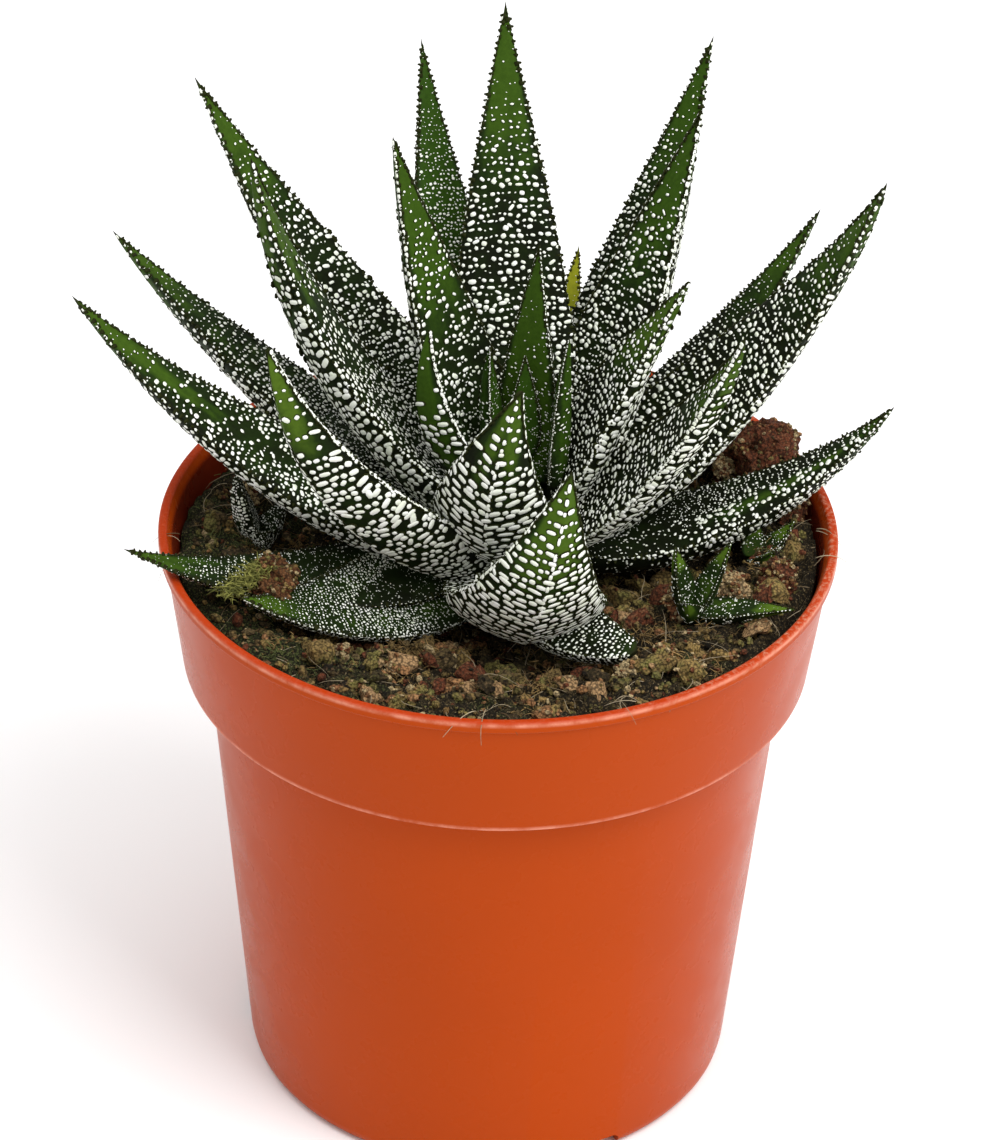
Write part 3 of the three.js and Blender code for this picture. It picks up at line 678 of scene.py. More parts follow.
# Metres on a leaf of full size, least and greatest: half widths and lengths of what grows on it and the
# gaps to the next. The two ROW pairs are the steps between rows at the base and at the tip.
LARGE_DOT = 0.00034, 0.00055
FINE_DOT = 0.00017, 0.0003
UPPER_GAP = 0.00013, 0.0005
UPPER_ROW = 0.00099, 0.0013
DASH = 0.0006, 0.0013
ROUND_DOT = 0.00038, 0.0006
DASH_LENGTH = 0.0004, 0.00056
LOWER_GAP = 0.0001, 0.0003
LOWER_ROW = 0.00118, 0.0018
ROW_JITTER = 0.00023
FIRST_ROW = 0.0016          # how far the first row lies from the base
ROW_END = 0.0003            # no dot starts this close to the margin
MARGIN_STRIP = 0.0002       # no dot has its middle this close to the margin
BEAD = 0.0003, 0.00055
BEAD_WIDTH = 0.00026, 0.0004
LEAST_BEAD_WIDTH = 0.00022
BEAD_GAP = 0.0003, 0.0011
BEAD_OVERLAP = -0.0005, -0.0001
KEEL_DASH = 0.0004, 0.0009
KEEL_DASH_WIDTH = 0.00028, 0.0004
KEEL_GAP = 0.0003, 0.0011
KEEL_DASH_HEIGHT = 0.0003
TOOTH_HEIGHT = 0.0006, 0.00095
TOOTH_LENGTH = 0.0004, 0.00058
TOOTH_WIDTH = 0.0004
TOOTH_STEP = 0.0009, 0.0015


def dome(blade, share, angle, half_across, half_along, height, twist=0.0):
    """Placing matrix of one tubercle, sunk half into the skin."""
    place, across, along, normal = blade.seat(share, angle)
    half_across, half_along = DARK_FOOT * half_across, DARK_FOOT * half_along
    first = across * math.cos(twist) + along * math.sin(twist)
    second = along * math.cos(twist) - across * math.sin(twist)
    return matrix_of(first * half_across, second * half_along, normal * height, place)


def arc_of_face(blade, share, face):
    """Angles round one face at a share of the length, with the distance run to each."""
    angles = [face * math.pi * part / ARC_PARTS for part in range(ARC_PARTS + 1)]
    points = [blade.section(share, angle) for angle in angles]
    run = [0.0]
    for (x1, y1), (x2, y2) in zip(points, points[1:]):
        run.append(run[-1] + math.hypot(x2 - x1, y2 - y1))
    return angles, run


def angle_at(angles, run, distance):
    """The angle after a distance along the arc."""
    for index in range(1, len(run)):
        if run[index] >= distance:
            part = (distance - run[index - 1]) / max(1e-9, run[index] - run[index - 1])
            return mix(angles[index - 1], angles[index], part)
    return angles[-1]


def in_strip(look, across, breadth):
    """How far a place belongs to the two bare, green strips of a face, 1 in their middles."""
    return look.strip * math.exp(-((abs(across) - look.strip_at) / breadth) ** 2)


def upper_dot(share, across, look, draw):
    """Half width, half length, gap to the next and chance of a tubercle of the channelled face."""
    coarse = ease(-0.12, 0.12, across * look.side) if look.side else 0.0
    speckled = look.speckle * ease(0.55, 0.35, share) * ease(0.5, 0.25, abs(across))
    speckled = mix(max(speckled, 0.8 * abs(look.side)), 0.0, coarse)
    thinning = ease(look.thin - 0.16, look.thin + 0.14, share)
    large = draw.random() < mix(0.62, 0.05, speckled) * mix(1.0, 0.35, thinning)
    half = draw.uniform(*(LARGE_DOT if large else FINE_DOT))
    half *= mix(1.0, 0.55, ease(look.thin - 0.06, look.thin + 0.2, share)) * mix(1.0, 1.45, coarse)
    length = half * draw.uniform(0.55, 0.9)
    if draw.random() < 0.2 * (1 - share):
        half *= draw.uniform(1.2, 1.7)
    gap = draw.uniform(*UPPER_GAP) * mix(1.0, 0.4, speckled) * mix(1.0, 2.4, thinning)
    gap *= mix(1.0, 2.2, coarse)
    strip = in_strip(look, across, 0.22) * ease(0.32, 0.55, share)
    fading = mix(0.97, 0.4, ease(look.thin, look.thin + 0.24, share))
    return half, length, gap, fading * (1 - 0.9 * min(1.0, strip)) * (1 - look.bare)


def lower_dot(share, across, look, draw):
    """The same for the rounded underside: dashes towards the base, round dots towards the tip."""
    dash = draw.random() < mix(0.86, 0.3, ease(0.52, 0.85, share)) * (1 - 0.5 * look.speckle)
    half = draw.uniform(*(DASH if dash else ROUND_DOT))
    half *= mix(1.0, 0.66, ease(0.6, 0.9, share))
    length = min(half, draw.uniform(*DASH_LENGTH)) * mix(1.0, 0.8, ease(0.6, 0.9, share))
    gap = draw.uniform(*LOWER_GAP) * mix(1.0, 3.0, ease(look.thin - 0.12, look.thin + 0.2, share))
    strip = in_strip(look, across, 0.24) * ease(look.thin - 0.12, look.thin + 0.05, share)
    fading = mix(0.99, 0.6, ease(look.thin, look.thin + 0.3, share))
    return half, length, gap, fading * (1 - 0.9 * min(1.0, strip)) * (1 - look.bare)


def face_tubercles(blade, face, look, crowding, relief, draw):
    """Rows of tubercles across one face, set a little unevenly."""
    placings = []
    grade = look.size * min(1.0, 0.55 + 0.45 * blade.width / FULL_LEAF)
    one_dot = upper_dot if face == UPPER else lower_dot
    distance = FIRST_ROW
    while distance < 0.975 * blade.length:
        share = distance / blade.length
        angles, run = arc_of_face(blade, share, face)
        total = run[-1]
        reach = draw.uniform(0.1, 0.9) * 0.001 * grade
        begun = ease(look.first - 0.22, look.first, share) if look.first else 1.0
        scale = grade * mix(0.62, 1.0, ease(0.05, 0.28, share)) * mix(0.6, 1.0, begun)
        while reach < total - ROW_END:
            half, length, gap, chance = one_dot(share, 2 * reach / total - 1, look, draw)
            half *= scale
            length *= scale
            centre = reach + half
            reach += 2 * half + gap * scale / crowding
            if draw.random() > chance * mix(0.18, 1.0, begun) or centre > total - MARGIN_STRIP:
                continue
            place = min(0.985, share + draw.gauss(0, ROW_JITTER * grade) / blade.length)
            height = min(relief, 0.8 * half) * draw.uniform(0.8, 1.1)
            twist = draw.gauss(0, 0.42 if face == UPPER else 0.16 + 0.3 * look.speckle)
            angle = angle_at(angles, run, centre)
            placings.append(dome(blade, place, angle, half, length, height, twist))
        if face == UPPER:
            step = mix(*UPPER_ROW, share) * (1 - 0.3 * look.speckle * ease(0.55, 0.35, share))
        else:
            step = mix(*LOWER_ROW, ease(look.thin - 0.25, look.thin + 0.2, share))
        distance += step * scale * draw.uniform(0.88, 1.12) / crowding
    return placings


def margin_beads(blade, size, line, draw):
    """White beads along both margins, which run together into a line where the leaf has one."""
    placings = []
    grade = size * min(1.0, 0.5 + 0.5 * blade.width / FULL_LEAF)
    for angle in (0.0, math.pi):
        distance = 0.0015
        while distance < 0.985 * blade.length:
            share = distance / blade.length
            half = draw.uniform(*BEAD) * grade
            inward = draw.uniform(-0.06, 0.12)
            bead_angle = inward if angle == 0.0 else math.pi - inward
            wide = mix(LEAST_BEAD_WIDTH, draw.uniform(*BEAD_WIDTH), line) * grade
            placings.append(dome(blade, share, bead_angle, wide, half, wide))
            free = mix(draw.uniform(*BEAD_GAP), draw.uniform(*BEAD_OVERLAP), line)
            distance += (2 * half + free * grade) * mix(1.0, 1.3, share)
    return placings


def keel_dashes(blade, strength, draw):
    """White dashes along the ridge of the underside."""
    placings = []
    distance = 0.35 * blade.length
    while strength and distance < 0.96 * blade.length:
        half = draw.uniform(*KEEL_DASH)
        wide = draw.uniform(*KEEL_DASH_WIDTH)
        if draw.random() < strength:
            share = distance / blade.length
            placings.append(dome(blade, share, -math.pi / 2, wide, half, KEEL_DASH_HEIGHT))
        distance += 2 * half + draw.uniform(*KEEL_GAP)
    return placings


def margin_teeth(blade, draw):
    """Small dark teeth that stand out from both margins."""
    placings = []
    grade = min(1.0, 0.4 + 0.6 * blade.width / FULL_LEAF)
    for angle in (0.0, math.pi):
        distance = 0.002
        while distance < 0.975 * blade.length:
            share = distance / blade.length
            tall = draw.uniform(*TOOTH_HEIGHT) * grade * mix(1.0, 0.6, share)
            lift = draw.uniform(-0.1, 0.16)
            tooth_angle = lift if angle == 0.0 else math.pi - lift
            half = draw.uniform(*TOOTH_LENGTH) * grade
            placings.append(dome(blade, share, tooth_angle, TOOTH_WIDTH * grade, half, tall))
            distance += draw.uniform(*TOOTH_STEP) * grade
    return placings


def leaf_body(blade, around, rows, look, salt):
    """A sphere drawn out along the midrib: its rows become sections, its poles the base and tip."""
    body = bmesh.new()
    bmesh.ops.create_uvsphere(body, u_segments=around, v_segments=rows, radius=1.0)
    growth = body.verts.layers.float_color.new("growth")
    for vert in body.verts:
        height = min(1.0, max(-1.0, vert.co.z))
        row = rows * (1 - math.acos(height) / math.pi)
        share = max(0.0, (row - 1) / (rows - 1))
        angle = math.atan2(vert.co.y, vert.co.x)
        across = vert.co.x / max(1e-6, math.hypot(vert.co.x, vert.co.y))
        if abs(height) > 0.99999:
            vert.co = blade.frame(share)[0]
        else:
            point = blade.surface(share, angle)
            fade = min(1.0, blade.half_width(share) / 0.005)
            wave = 0.00022 * lumps(point, 0.006, salt) + 0.0001 * lumps(point, 0.0018, salt + 5)
            vert.co = blade.surface(share, angle, wave * fade)
        strip = 0.24 * in_strip(look, across, 0.24)
        green = max(0.55 * look.ground, ease(look.green - 0.2, look.green + 0.22, share + strip))
        if look.side:
            beside = math.exp(-((across * look.side + 0.3) / 0.3) ** 2) * ease(0.3, 0.5, share)
            green = max(green, 0.75 * beside)
        # painted shade: the skin darker near the margins, except at the tip
        green *= 1 - 0.55 * ease(0.72, 0.95, abs(across)) * ease(0.97, 0.8, share)
        vert[growth] = (share, look.fresh, green, 1.0)
    return body


# A tubercle in shares of its half width and height: its white cap stands on a foot in the dark skin colour,
# a ring of painted shade around the cap.
CAP_RADIUS = 0.77
CAP_TOP = 0.97
CAP_EDGE = 0.64
FOOT = -0.15
DARK_FOOT = 1.24            # how much wider the whole tubercle is than its white cap
SQUARENESS = 2.8            # 2 would make round tubercles
LARGE_SIDES = 8
SMALL_SIDES = 5
SMALL_TUBERCLE = 0.00052    # half its longer side, up to which it has few sides
TOOTH_SIDES = 5
NARROW_LEAF = 0.009
ROWS_TO_A_METRE = 1400
LEAST_ROWS = 24


def tubercle_form(sides):
    """A white cap on a foot in the dark skin colour, a ring of painted shade."""
    form = bmesh.new()
    middle = Matrix.Translation((0, 0, (CAP_EDGE + FOOT) / 2))
    bmesh.ops.create_cone(
        form, cap_ends=True, segments=sides, radius1=1.0, radius2=CAP_RADIUS, depth=CAP_EDGE - FOOT,
        matrix=middle)
    for vert in form.verts:
        power = abs(vert.co.x) ** SQUARENESS + abs(vert.co.y) ** SQUARENESS
        vert.co.xy *= math.hypot(vert.co.x, vert.co.y) / power ** (1 / SQUARENESS)
    top = max(form.faces, key=lambda face: face.calc_center_median().z)
    cap = bmesh.ops.poke(form, faces=[top])
    for vert in cap["verts"]:
        vert.co.z = CAP_TOP
    for face in cap["faces"]:
        face.material_index = 1
    return form


def tubercles_shape(placings):
    """Tubercles where the placings say, the small ones with fewer sides."""
    large, small = [], []
    for placing in placings:
        longer = max(placing.col[0].length, placing.col[1].length)
        (large if longer > SMALL_TUBERCLE else small).append(placing)
    return joined(copies(tubercle_form(LARGE_SIDES), large), copies(tubercle_form(SMALL_SIDES), small))


def tooth_form():
    """A blunt little cone in the leaf's own skin."""
    form = bmesh.new()
    bmesh.ops.create_cone(
        form, cap_ends=True, segments=TOOTH_SIDES, radius1=1.0, radius2=0.25, depth=2.0)
    return form


def leaf_shape(blade, look, crowding, relief, draw, fine=1.0):
    """One leaf with all that grows on it; fine raises the number of rows of its body."""
    around = 40 if blade.width > NARROW_LEAF else 24
    rows = max(LEAST_ROWS, int(fine * ROWS_TO_A_METRE * blade.length))
    body = leaf_body(blade, around, rows, look, draw.uniform(0, 50))
    placings = face_tubercles(blade, UPPER, look, crowding, relief, draw)
    placings += face_tubercles(blade, LOWER, look, crowding, relief, draw)
    placings += margin_beads(blade, look.size, look.line, draw)
    placings += keel_dashes(blade, look.keel, draw)
    body = joined(body, copies(tooth_form(), margin_teeth(blade, draw)))
    return joined(body, tubercles_shape(placings))


def rosette_blades():
    """Every leaf of the main rosette by name."""
    blades = {}
    for name, turn, swing, rise, curl, length, width, thickness, roll, out, seat, lean in LEAVES:
        bearing = math.radians(turn)
        base = (STEM_X + out * math.cos(bearing), STEM_Y + out * math.sin(bearing), seat)
        point = BLUNT_POINT if name == BLUNT_LEAF else LEAF_POINT
        blades[name] = Blade(base, turn, swing, rise, curl, length, width, thickness, roll, lean, point)
    return blades


# ---------------------------------------------------------------- pot

BAND_FOOT_RADIUS = 0.056
BODY_TOP_RADIUS = 0.0516
FOOT_RADIUS = 0.0442
FOOT_ROUNDING = 0.003
LIP_WIDTH = 0.0015
LIP_HEIGHT = 0.0023
LIP_STEP = 0.001
FLOOR_UNDERSIDE = 0.0036
FLOOR_TOP = 0.0052
FOOT_RING_WIDTH = 0.004
PAD_RADIUS = 0.009
NOTCH_COUNT = 3
NOTCH_WIDTH = 0.0185
NOTCH_HEIGHT = 0.0032
NOTCH_TURN = -68.3
DRAIN_COUNT = 6
DRAIN_RADIUS = 0.0035
DRAIN_CIRCLE = 0.024
POT_STEPS = 192
CORNER_PARTS = 4
SOIL_GAP = 0.00035          # between the soil and the pot
SOIL_RINGS = 100
SOIL_STEPS = 320


def wall_radius(pot, height):
    """Radius of the pot's outside at a height, without its rounding, band step and lip."""
    band_foot = pot.height - pot.band_height
    if height <= band_foot:
        return mix(FOOT_RADIUS, BODY_TOP_RADIUS, height / band_foot)
    share = min(1.0, (height - band_foot) / (pot.band_height - LIP_HEIGHT))
    return mix(BAND_FOOT_RADIUS, pot.rim_radius - LIP_STEP, share)


def turned(profile, steps):
    """A closed body turned about +Z from radius and height pairs."""
    shape = bmesh.new()
    verts = [shape.verts.new((radius, 0, height)) for radius, height in profile]
    edges = [shape.edges.new(pair) for pair in zip(verts, verts[1:])]
    bmesh.ops.spin(
        shape, geom=verts + edges, cent=(0, 0, 0), axis=(0, 0, 1), angle=2 * math.pi,
        steps=steps, use_merge=True, use_duplicate=False)
    bmesh.ops.remove_doubles(shape, verts=shape.verts, dist=1e-6)
    bmesh.ops.recalc_face_normals(shape, faces=shape.faces)
    return shape


def rounded(corner, before, after, radius):
    """Points of the curve that rounds a corner of a profile between its two neighbours."""
    corner, before, after = Vector(corner), Vector(before), Vector(after)
    start = corner + (before - corner).normalized() * radius
    end = corner + (after - corner).normalized() * radius
    points = []
    for part in range(CORNER_PARTS + 1):
        share = part / CORNER_PARTS
        point = start * (1 - share) ** 2 + corner * 2 * share * (1 - share) + end * share ** 2
        points.append(tuple(point))
    return points


def rounded_profile(corners):
    """A profile from (radius, height, rounding) corners."""
    profile = []
    for index, (radius, height, rounding) in enumerate(corners):
        if not rounding:
            profile.append((radius, height))
            continue
        before = corners[index - 1][:2]
        after = corners[index + 1][:2]
        profile += rounded((radius, height), before, after, rounding)
    return profile


def pot_shape(pot):
    """The wall, band, lip, floor and foot ring in one turned body."""
    band_foot = pot.height - pot.band_height
    lip_foot = pot.height - LIP_HEIGHT
    ring_inside = FOOT_RADIUS - FOOT_ROUNDING - FOOT_RING_WIDTH
    lip_in = wall_radius(pot, lip_foot)
    return turned(rounded_profile([
        (0, 0, 0), (PAD_RADIUS, 0, 0.0003), (PAD_RADIUS + 0.001, FLOOR_UNDERSIDE, 0.0004),
        (ring_inside - 0.001, FLOOR_UNDERSIDE, 0.0004), (ring_inside, 0, 0.0004),
        (FOOT_RADIUS, 0, 0.0028),
        (BODY_TOP_RADIUS, band_foot - 0.0002, 0.0006), (BAND_FOOT_RADIUS, band_foot, 0.0005),
        (lip_in, lip_foot - 0.0002, 0.0003), (pot.rim_radius, lip_foot + 0.0002, 0.0004),
        (pot.rim_radius, pot.height, 0.0005),
        (pot.rim_radius - LIP_WIDTH, pot.height, 0.0005),
        (lip_in - pot.wall, lip_foot, 0.0004),
        (BAND_FOOT_RADIUS - pot.wall, band_foot + pot.wall, 0.001),
        (BODY_TOP_RADIUS - pot.wall, band_foot - pot.wall, 0.001),
        (wall_radius(pot, FLOOR_TOP) - pot.wall, FLOOR_TOP, 0.002), (0, FLOOR_TOP, 0),
    ]), POT_STEPS)


def notch_cutters():
    """The arches of the foot ring and the drain holes, as one set of cutting bodies."""
    cutters = bmesh.new()
    reach = 2 * FOOT_ROUNDING + FOOT_RING_WIDTH + 0.004
    for notch in range(NOTCH_COUNT):
        turn = math.radians(NOTCH_TURN + notch * 360 / NOTCH_COUNT)
        size = Matrix.Diagonal((reach, NOTCH_WIDTH, 2 * NOTCH_HEIGHT, 1))
        place = Matrix.Rotation(turn, 4, "Z") @ Matrix.Translation((FOOT_RADIUS - reach / 2 + 0.002, 0, 0))
        made = bmesh.ops.create_cube(cutters, size=1.0, matrix=place @ size)
        top = [edge for edge in {edge for vert in made["verts"] for edge in vert.link_edges}
               if all(vert.co.z > 0 for vert in edge.verts)
               and abs((edge.verts[0].co - edge.verts[1].co).length - reach) < 1e-5]
        bmesh.ops.bevel(
            cutters, geom=top, offset=0.0016, affect="EDGES", segments=5, profile=0.5, material=-1)
    for drain in range(DRAIN_COUNT):
        turn = math.radians(NOTCH_TURN + drain * 360 / DRAIN_COUNT)
        place = Matrix.Translation((DRAIN_CIRCLE * math.cos(turn), DRAIN_CIRCLE * math.sin(turn), FLOOR_TOP))
        bmesh.ops.create_cone(
            cutters, cap_ends=True, segments=24, radius1=DRAIN_RADIUS, radius2=DRAIN_RADIUS,
            depth=2 * FLOOR_TOP, matrix=place)
    return cutters


def cut(piece, cutters):
    """Cuts the bodies out of the piece's mesh and throws them away."""
    mesh = bpy.data.meshes.new("cutters")
    cutters.to_mesh(mesh)
    cutters.free()
    tool = bpy.data.objects.new("cutters", mesh)
    bpy.context.scene.collection.objects.link(tool)
    modifier = piece.modifiers.new("notches", "BOOLEAN")
    modifier.operation = "DIFFERENCE"
    modifier.solver = "EXACT"
    modifier.object = tool
    evaluated = piece.evaluated_get(bpy.context.evaluated_depsgraph_get())
    solid = bpy.data.meshes.new_from_object(evaluated)
    piece.modifiers.clear()
    old = piece.data
    piece.data = solid
    bpy.data.meshes.remove(old)
    bpy.data.objects.remove(tool)
    bpy.data.meshes.remove(mesh)
    solid.name = piece.name
    return solid


# ---------------------------------------------------------------- soil

UNPRESSED_LEVEL = 0.1035
DEEPEST_TROUGH = 0.0085
ROOM_UNDER_LEAF = 0.0012
TROUGH_SLOPE = 0.006        # how far beside a leaf the soil is pressed down


def trough(blades, x, y):
    """How far the soil is pressed down by the leaves that lie in it, at a place in plan."""
    pressed = 0.0
    for name in BEDDED_LEAVES:
        blade = blades[name]
        for step in range(0, SPINE_STEPS, 8):
            place = blade.frames[step][0]
            half = blade.half_width(step / SPINE_STEPS)
            underside = place.z - blade.depth(step / SPINE_STEPS) - ROOM_UNDER_LEAF
            near = 1 - ease(half, half + TROUGH_SLOPE, math.hypot(place.x - x, place.y - y))
            pressed = max(pressed, near * (UNPRESSED_LEVEL - underside))
    return min(DEEPEST_TROUGH, pressed)


def soil_height(level, x, y):
    """The crumbly surface before the leaves press into it."""
    place = Vector((x, y, 0))
    radius = math.hypot(x, y)
    swell = 0.0008 * math.sin(110 * x + 1) * math.cos(130 * y) + 0.012 * x
    coarse = 0.0014 * lumps(place, 0.009, 1)
    crumbly = 0.0016 * abs(lumps(place, 0.0035, 2)) + 0.0009 * lumps(place, 0.0016, 3)
    crumbly += 0.0005 * lumps(place, 0.0008, 4) - 0.0022 * ease(0.05, 0.4, lumps(place, 0.0055, 9))
    under_plant = -0.003 * (1 - ease(0.012, 0.03, math.hypot(x - STEM_X, y - STEM_Y)))
    to_wall = 0.0032 * ease(0.036, 0.05, radius) - 0.0012 * ease(0.053, 0.056, radius)
    return level + swell + coarse + crumbly + under_plant + to_wall


def soil_shape(pot, soil, blades):
    """Peat that fills the pot, with a crumbly top in which some leaves lie."""
    inset = pot.wall + SOIL_GAP
    band_foot = pot.height - pot.band_height
    edge = wall_radius(pot, soil.level) - inset - 0.0001
    profile = [
        (0, FLOOR_TOP + SOIL_GAP), (wall_radius(pot, FLOOR_TOP) - inset, FLOOR_TOP + SOIL_GAP),
        (BODY_TOP_RADIUS - inset, band_foot - pot.wall),
        (BAND_FOOT_RADIUS - inset - 0.0003, band_foot + pot.wall),
        (edge - 0.0004, soil.level - 0.004),
    ]
    profile += [(edge * ring / SOIL_RINGS, soil.level) for ring in range(SOIL_RINGS, -1, -1)]
    shape = turned(profile, SOIL_STEPS)
    for vert in shape.verts:
        if vert.co.z > soil.level - 1e-4:
            height = soil_height(soil.level, vert.co.x, vert.co.y)
            vert.co.z = height - trough(blades, vert.co.x, vert.co.y)
    return shape


def scatter_on_soil(count, draw, blades, level, margin=0.0025):
    """Places on the soil's surface, clear of the wall."""
    places = []
    edge = STREWN_RADIUS - margin
    while len(places) < count:
        x, y = draw.uniform(-edge, edge), draw.uniform(-edge, edge)
        if math.hypot(x, y) < edge:
            height = soil_height(level, x, y) - trough(blades, x, y)
            places.append(Vector((x, y, height)))
    return places


def mossy(place):
    """How far moss takes the place of bare peat: towards the wall, and most on the left."""
    radius = math.hypot(place.x, place.y)
    return 0.15 + 0.75 * ease(0.0, 1.0, ease(0.036, 0.05, radius) * 0.5 + ease(-0.02, -0.045, place.x) * 0.6)


def unmossy(place):
    """How bare the peat is."""
    return 1 - mossy(place)


def soil_tone(place, draw):
    """Tone of a crumb or strand: neighbours are alike, with odd ones among them."""
    return min(0.97, max(0.0, 0.45 + 0.45 * lumps(place, 0.009, 7) + draw.gauss(0, 0.26)))


def craggy(place, size, draw):
    """Placing matrix of one angular crumb, turned and stretched at random."""
    axis = Vector((draw.random(), draw.random(), 1)).normalized()
    turn = Matrix.Rotation(draw.uniform(0, 2 * math.pi), 4, axis)
    stretch = Matrix.Diagonal((size * draw.uniform(0.8, 1.5), size, size * draw.uniform(0.5, 1.0), 1))
    return Matrix.Translation(place) @ turn @ stretch


def angular(placings, tones):
    """Copies of a twenty-sided crumb, each bent out of true."""
    form = bmesh.new()
    bmesh.ops.create_icosphere(form, subdivisions=1, radius=1.0)
    shape = copies(form, placings, tones)
    for vert in shape.verts:
        vert.co += noise.noise_vector(vert.co / 0.0005) * 0.00016
    return shape


# Radii, spreads and thicknesses of what lies on the soil, least and greatest.
LEAST_CRUMB = 0.00022
CRUMB_RANGE = 0.00085
GRAIN = 0.0002, 0.0006
SMALL_CLOD = 0.001, 0.0025
SMALL_CLOD_TONES = 0.12, 0.3, 0.42, 0.5, 0.55, 0.66, 0.8, 0.88
TUFT_SPREAD = 0.0008, 0.0024
TUFT_HEIGHT = -0.0004, 0.0005
FLUFF_THICKNESS = 0.00006, 0.00011


def crumbs_shape(soil, blades, draw):
    """Loose crumbs, many small and a few large."""
    placings, tones = [], []
    for place in scatter_on_soil(soil.crumbs, draw, blades, soil.level):
        size = LEAST_CRUMB + CRUMB_RANGE * draw.random() ** 3
        placings.append(craggy(place + Vector((0, 0, 0.3 * size)), size, draw))
        tones.append(soil_tone(place, draw))
    return angular(placings, tones)


def grains_on(lump, count, draw):
    """Small grains stuck all over the clods, each a little off the clod's own tone."""
    tone = lump.verts.layers.float_color["tone"]
    placings, tones = [], []
    for vert in draw.sample(list(lump.verts), count):
        placings.append(craggy(vert.co.copy(), draw.uniform(*GRAIN), draw))
        tones.append(min(0.97, max(0.0, vert[tone][0] + draw.gauss(0, 0.26))))
    return angular(placings, tones)


def clumps(placings, tones, subdivisions, relief):
    """Craggy lumps of peat: round bodies that noise breaks up."""
    form = bmesh.new()
    bmesh.ops.create_icosphere(form, subdivisions=subdivisions, radius=1.0)
    shape = copies(form, placings, tones)
    for vert in shape.verts:
        rough = noise.noise_vector(vert.co / 0.0034) * 1.6 + noise.noise_vector(vert.co / 0.0013) * 0.9
        rough += noise.noise_vector(vert.co / 0.0006) * 0.42
        vert.co += rough * relief
    return shape


def clods_shape(soil, blades, draw):
    """The large clods that stand out of the soil, and many small flat ones, as two shapes."""
    placings = [
        Matrix.Translation((x, y, height)) @ Matrix.Rotation(draw.uniform(0, 3), 4, "Z")
        @ Matrix.Diagonal((radius, 0.9 * radius, tallness * radius, 1))
        for x, y, height, radius, tallness, _ in CLODS
    ]
    shape = clumps(placings, [tone for *_, tone in CLODS], 4, 0.001)
    placings, tones = [], []
    for place in scatter_on_soil(SMALL_CLODS, draw, blades, soil.level, 0.004):
        by_offset = any((place - Vector(root)).length < OFFSET_CLEARANCE for _, root, _ in OFFSETS)
        if by_offset or draw.random() < 1.1 * mossy(place) - 0.2:
            continue
        size = draw.uniform(*SMALL_CLOD)
        flat = Matrix.Diagonal((size * draw.uniform(0.9, 1.3), size, size * draw.uniform(0.6, 1.0), 1))
        lifted = Matrix.Translation(place + Vector((0, 0, 0.3 * size)))
        placings.append(lifted @ Matrix.Rotation(draw.uniform(0, 6.3), 4, "Z") @ flat)
        tones.append(draw.choice(SMALL_CLOD_TONES))
    return shape, clumps(placings, tones, 2, 0.0009)


def strand_form(sides=4, steps=7):
    """A tapering strand from 0 to 1 along X with a radius of 1."""
    form = bmesh.new()
    turn = Matrix.Rotation(math.pi / 2, 4, "Y")
    bmesh.ops.create_cone(
        form, cap_ends=True, segments=sides, radius1=1.0, radius2=0.4, depth=1.0,
        matrix=Matrix.Translation((0.5, 0, 0)) @ turn)
    for step in range(1, steps):
        bmesh.ops.bisect_plane(
            form, geom=form.verts[:] + form.edges[:] + form.faces[:],
            plane_co=(step / steps, 0, 0), plane_no=(1, 0, 0))
    return form


def strand(place, turn, pitch, length, thickness, sweep, wave, droop):
    """Function that lays the straight strand along its own bent line."""
    ahead = Vector((math.cos(turn), math.sin(turn), 0))
    aside = Vector((-math.sin(turn), math.cos(turn), 0))
    upward = Vector((0, 0, 1))

    def placing(co):
        share = co.x
        run = ahead * (length * share)
        bend = aside * (length * (sweep * share * share + wave * math.sin(5 * share)))
        rise = upward * (length * (math.sin(pitch) * share - droop * share * share))
        return place + run + bend + rise + (aside * co.y + upward * co.z) * thickness

    return placing


def strands_shape(places, draw, length, thickness, pitch, droop, sides=4, steps=7, turns=(0, 2 * math.pi)):
    """Bent strands that start at the given places."""
    placings = [
        strand(place, draw.uniform(*turns), draw.uniform(*pitch), draw.uniform(*length),
               draw.uniform(*thickness), draw.uniform(-0.4, 0.4), draw.uniform(-0.12, 0.12), droop)
        for place in places
    ]
    return copies(strand_form(sides, steps), placings, [soil_tone(place, draw) for place in places])


def kept_inside(shape):
    """Bends whatever would pass through the wall back to it."""
    for vert in shape.verts:
        reach = math.hypot(vert.co.x, vert.co.y)
        if reach > STRAND_REACH:
            vert.co.x *= STRAND_REACH / reach
            vert.co.y *= STRAND_REACH / reach
    return shape


def tuft_roots(middle, spread, draw):
    """Where the strands of one tuft start."""
    return [
        middle + Vector((draw.gauss(0, spread), draw.gauss(0, spread), draw.uniform(*TUFT_HEIGHT)))
        for _ in range(TUFT_STRANDS)
    ]


def fluff_shape(soil, blades, draw, times, wanted, length):
    """Tufts of short strands, tried at times the settings' number of places; wanted is their chance."""
    roots = []
    for middle in scatter_on_soil(times * soil.tufts, draw, blades, soil.level, 0.001):
        if draw.random() < wanted(middle):
            roots += tuft_roots(middle, draw.uniform(*TUFT_SPREAD), draw)
    shape = strands_shape(roots, draw, length, FLUFF_THICKNESS, (0.2, 1.3), 0.3, sides=3, steps=2)
    return kept_inside(shape)


def clod_moss_shape(draw):
    """The golden tuft that hangs by the clod at the left."""
    start, pace, count = CLOD_MOSS
    roots = []
    for step in range(count):
        roots += tuft_roots(start + pace * step, 0.0009, draw)
    return strands_shape(roots, draw, (0.001, 0.0024), (0.0001, 0.00018), (0.2, 1.2), 0.5, sides=3, steps=3)


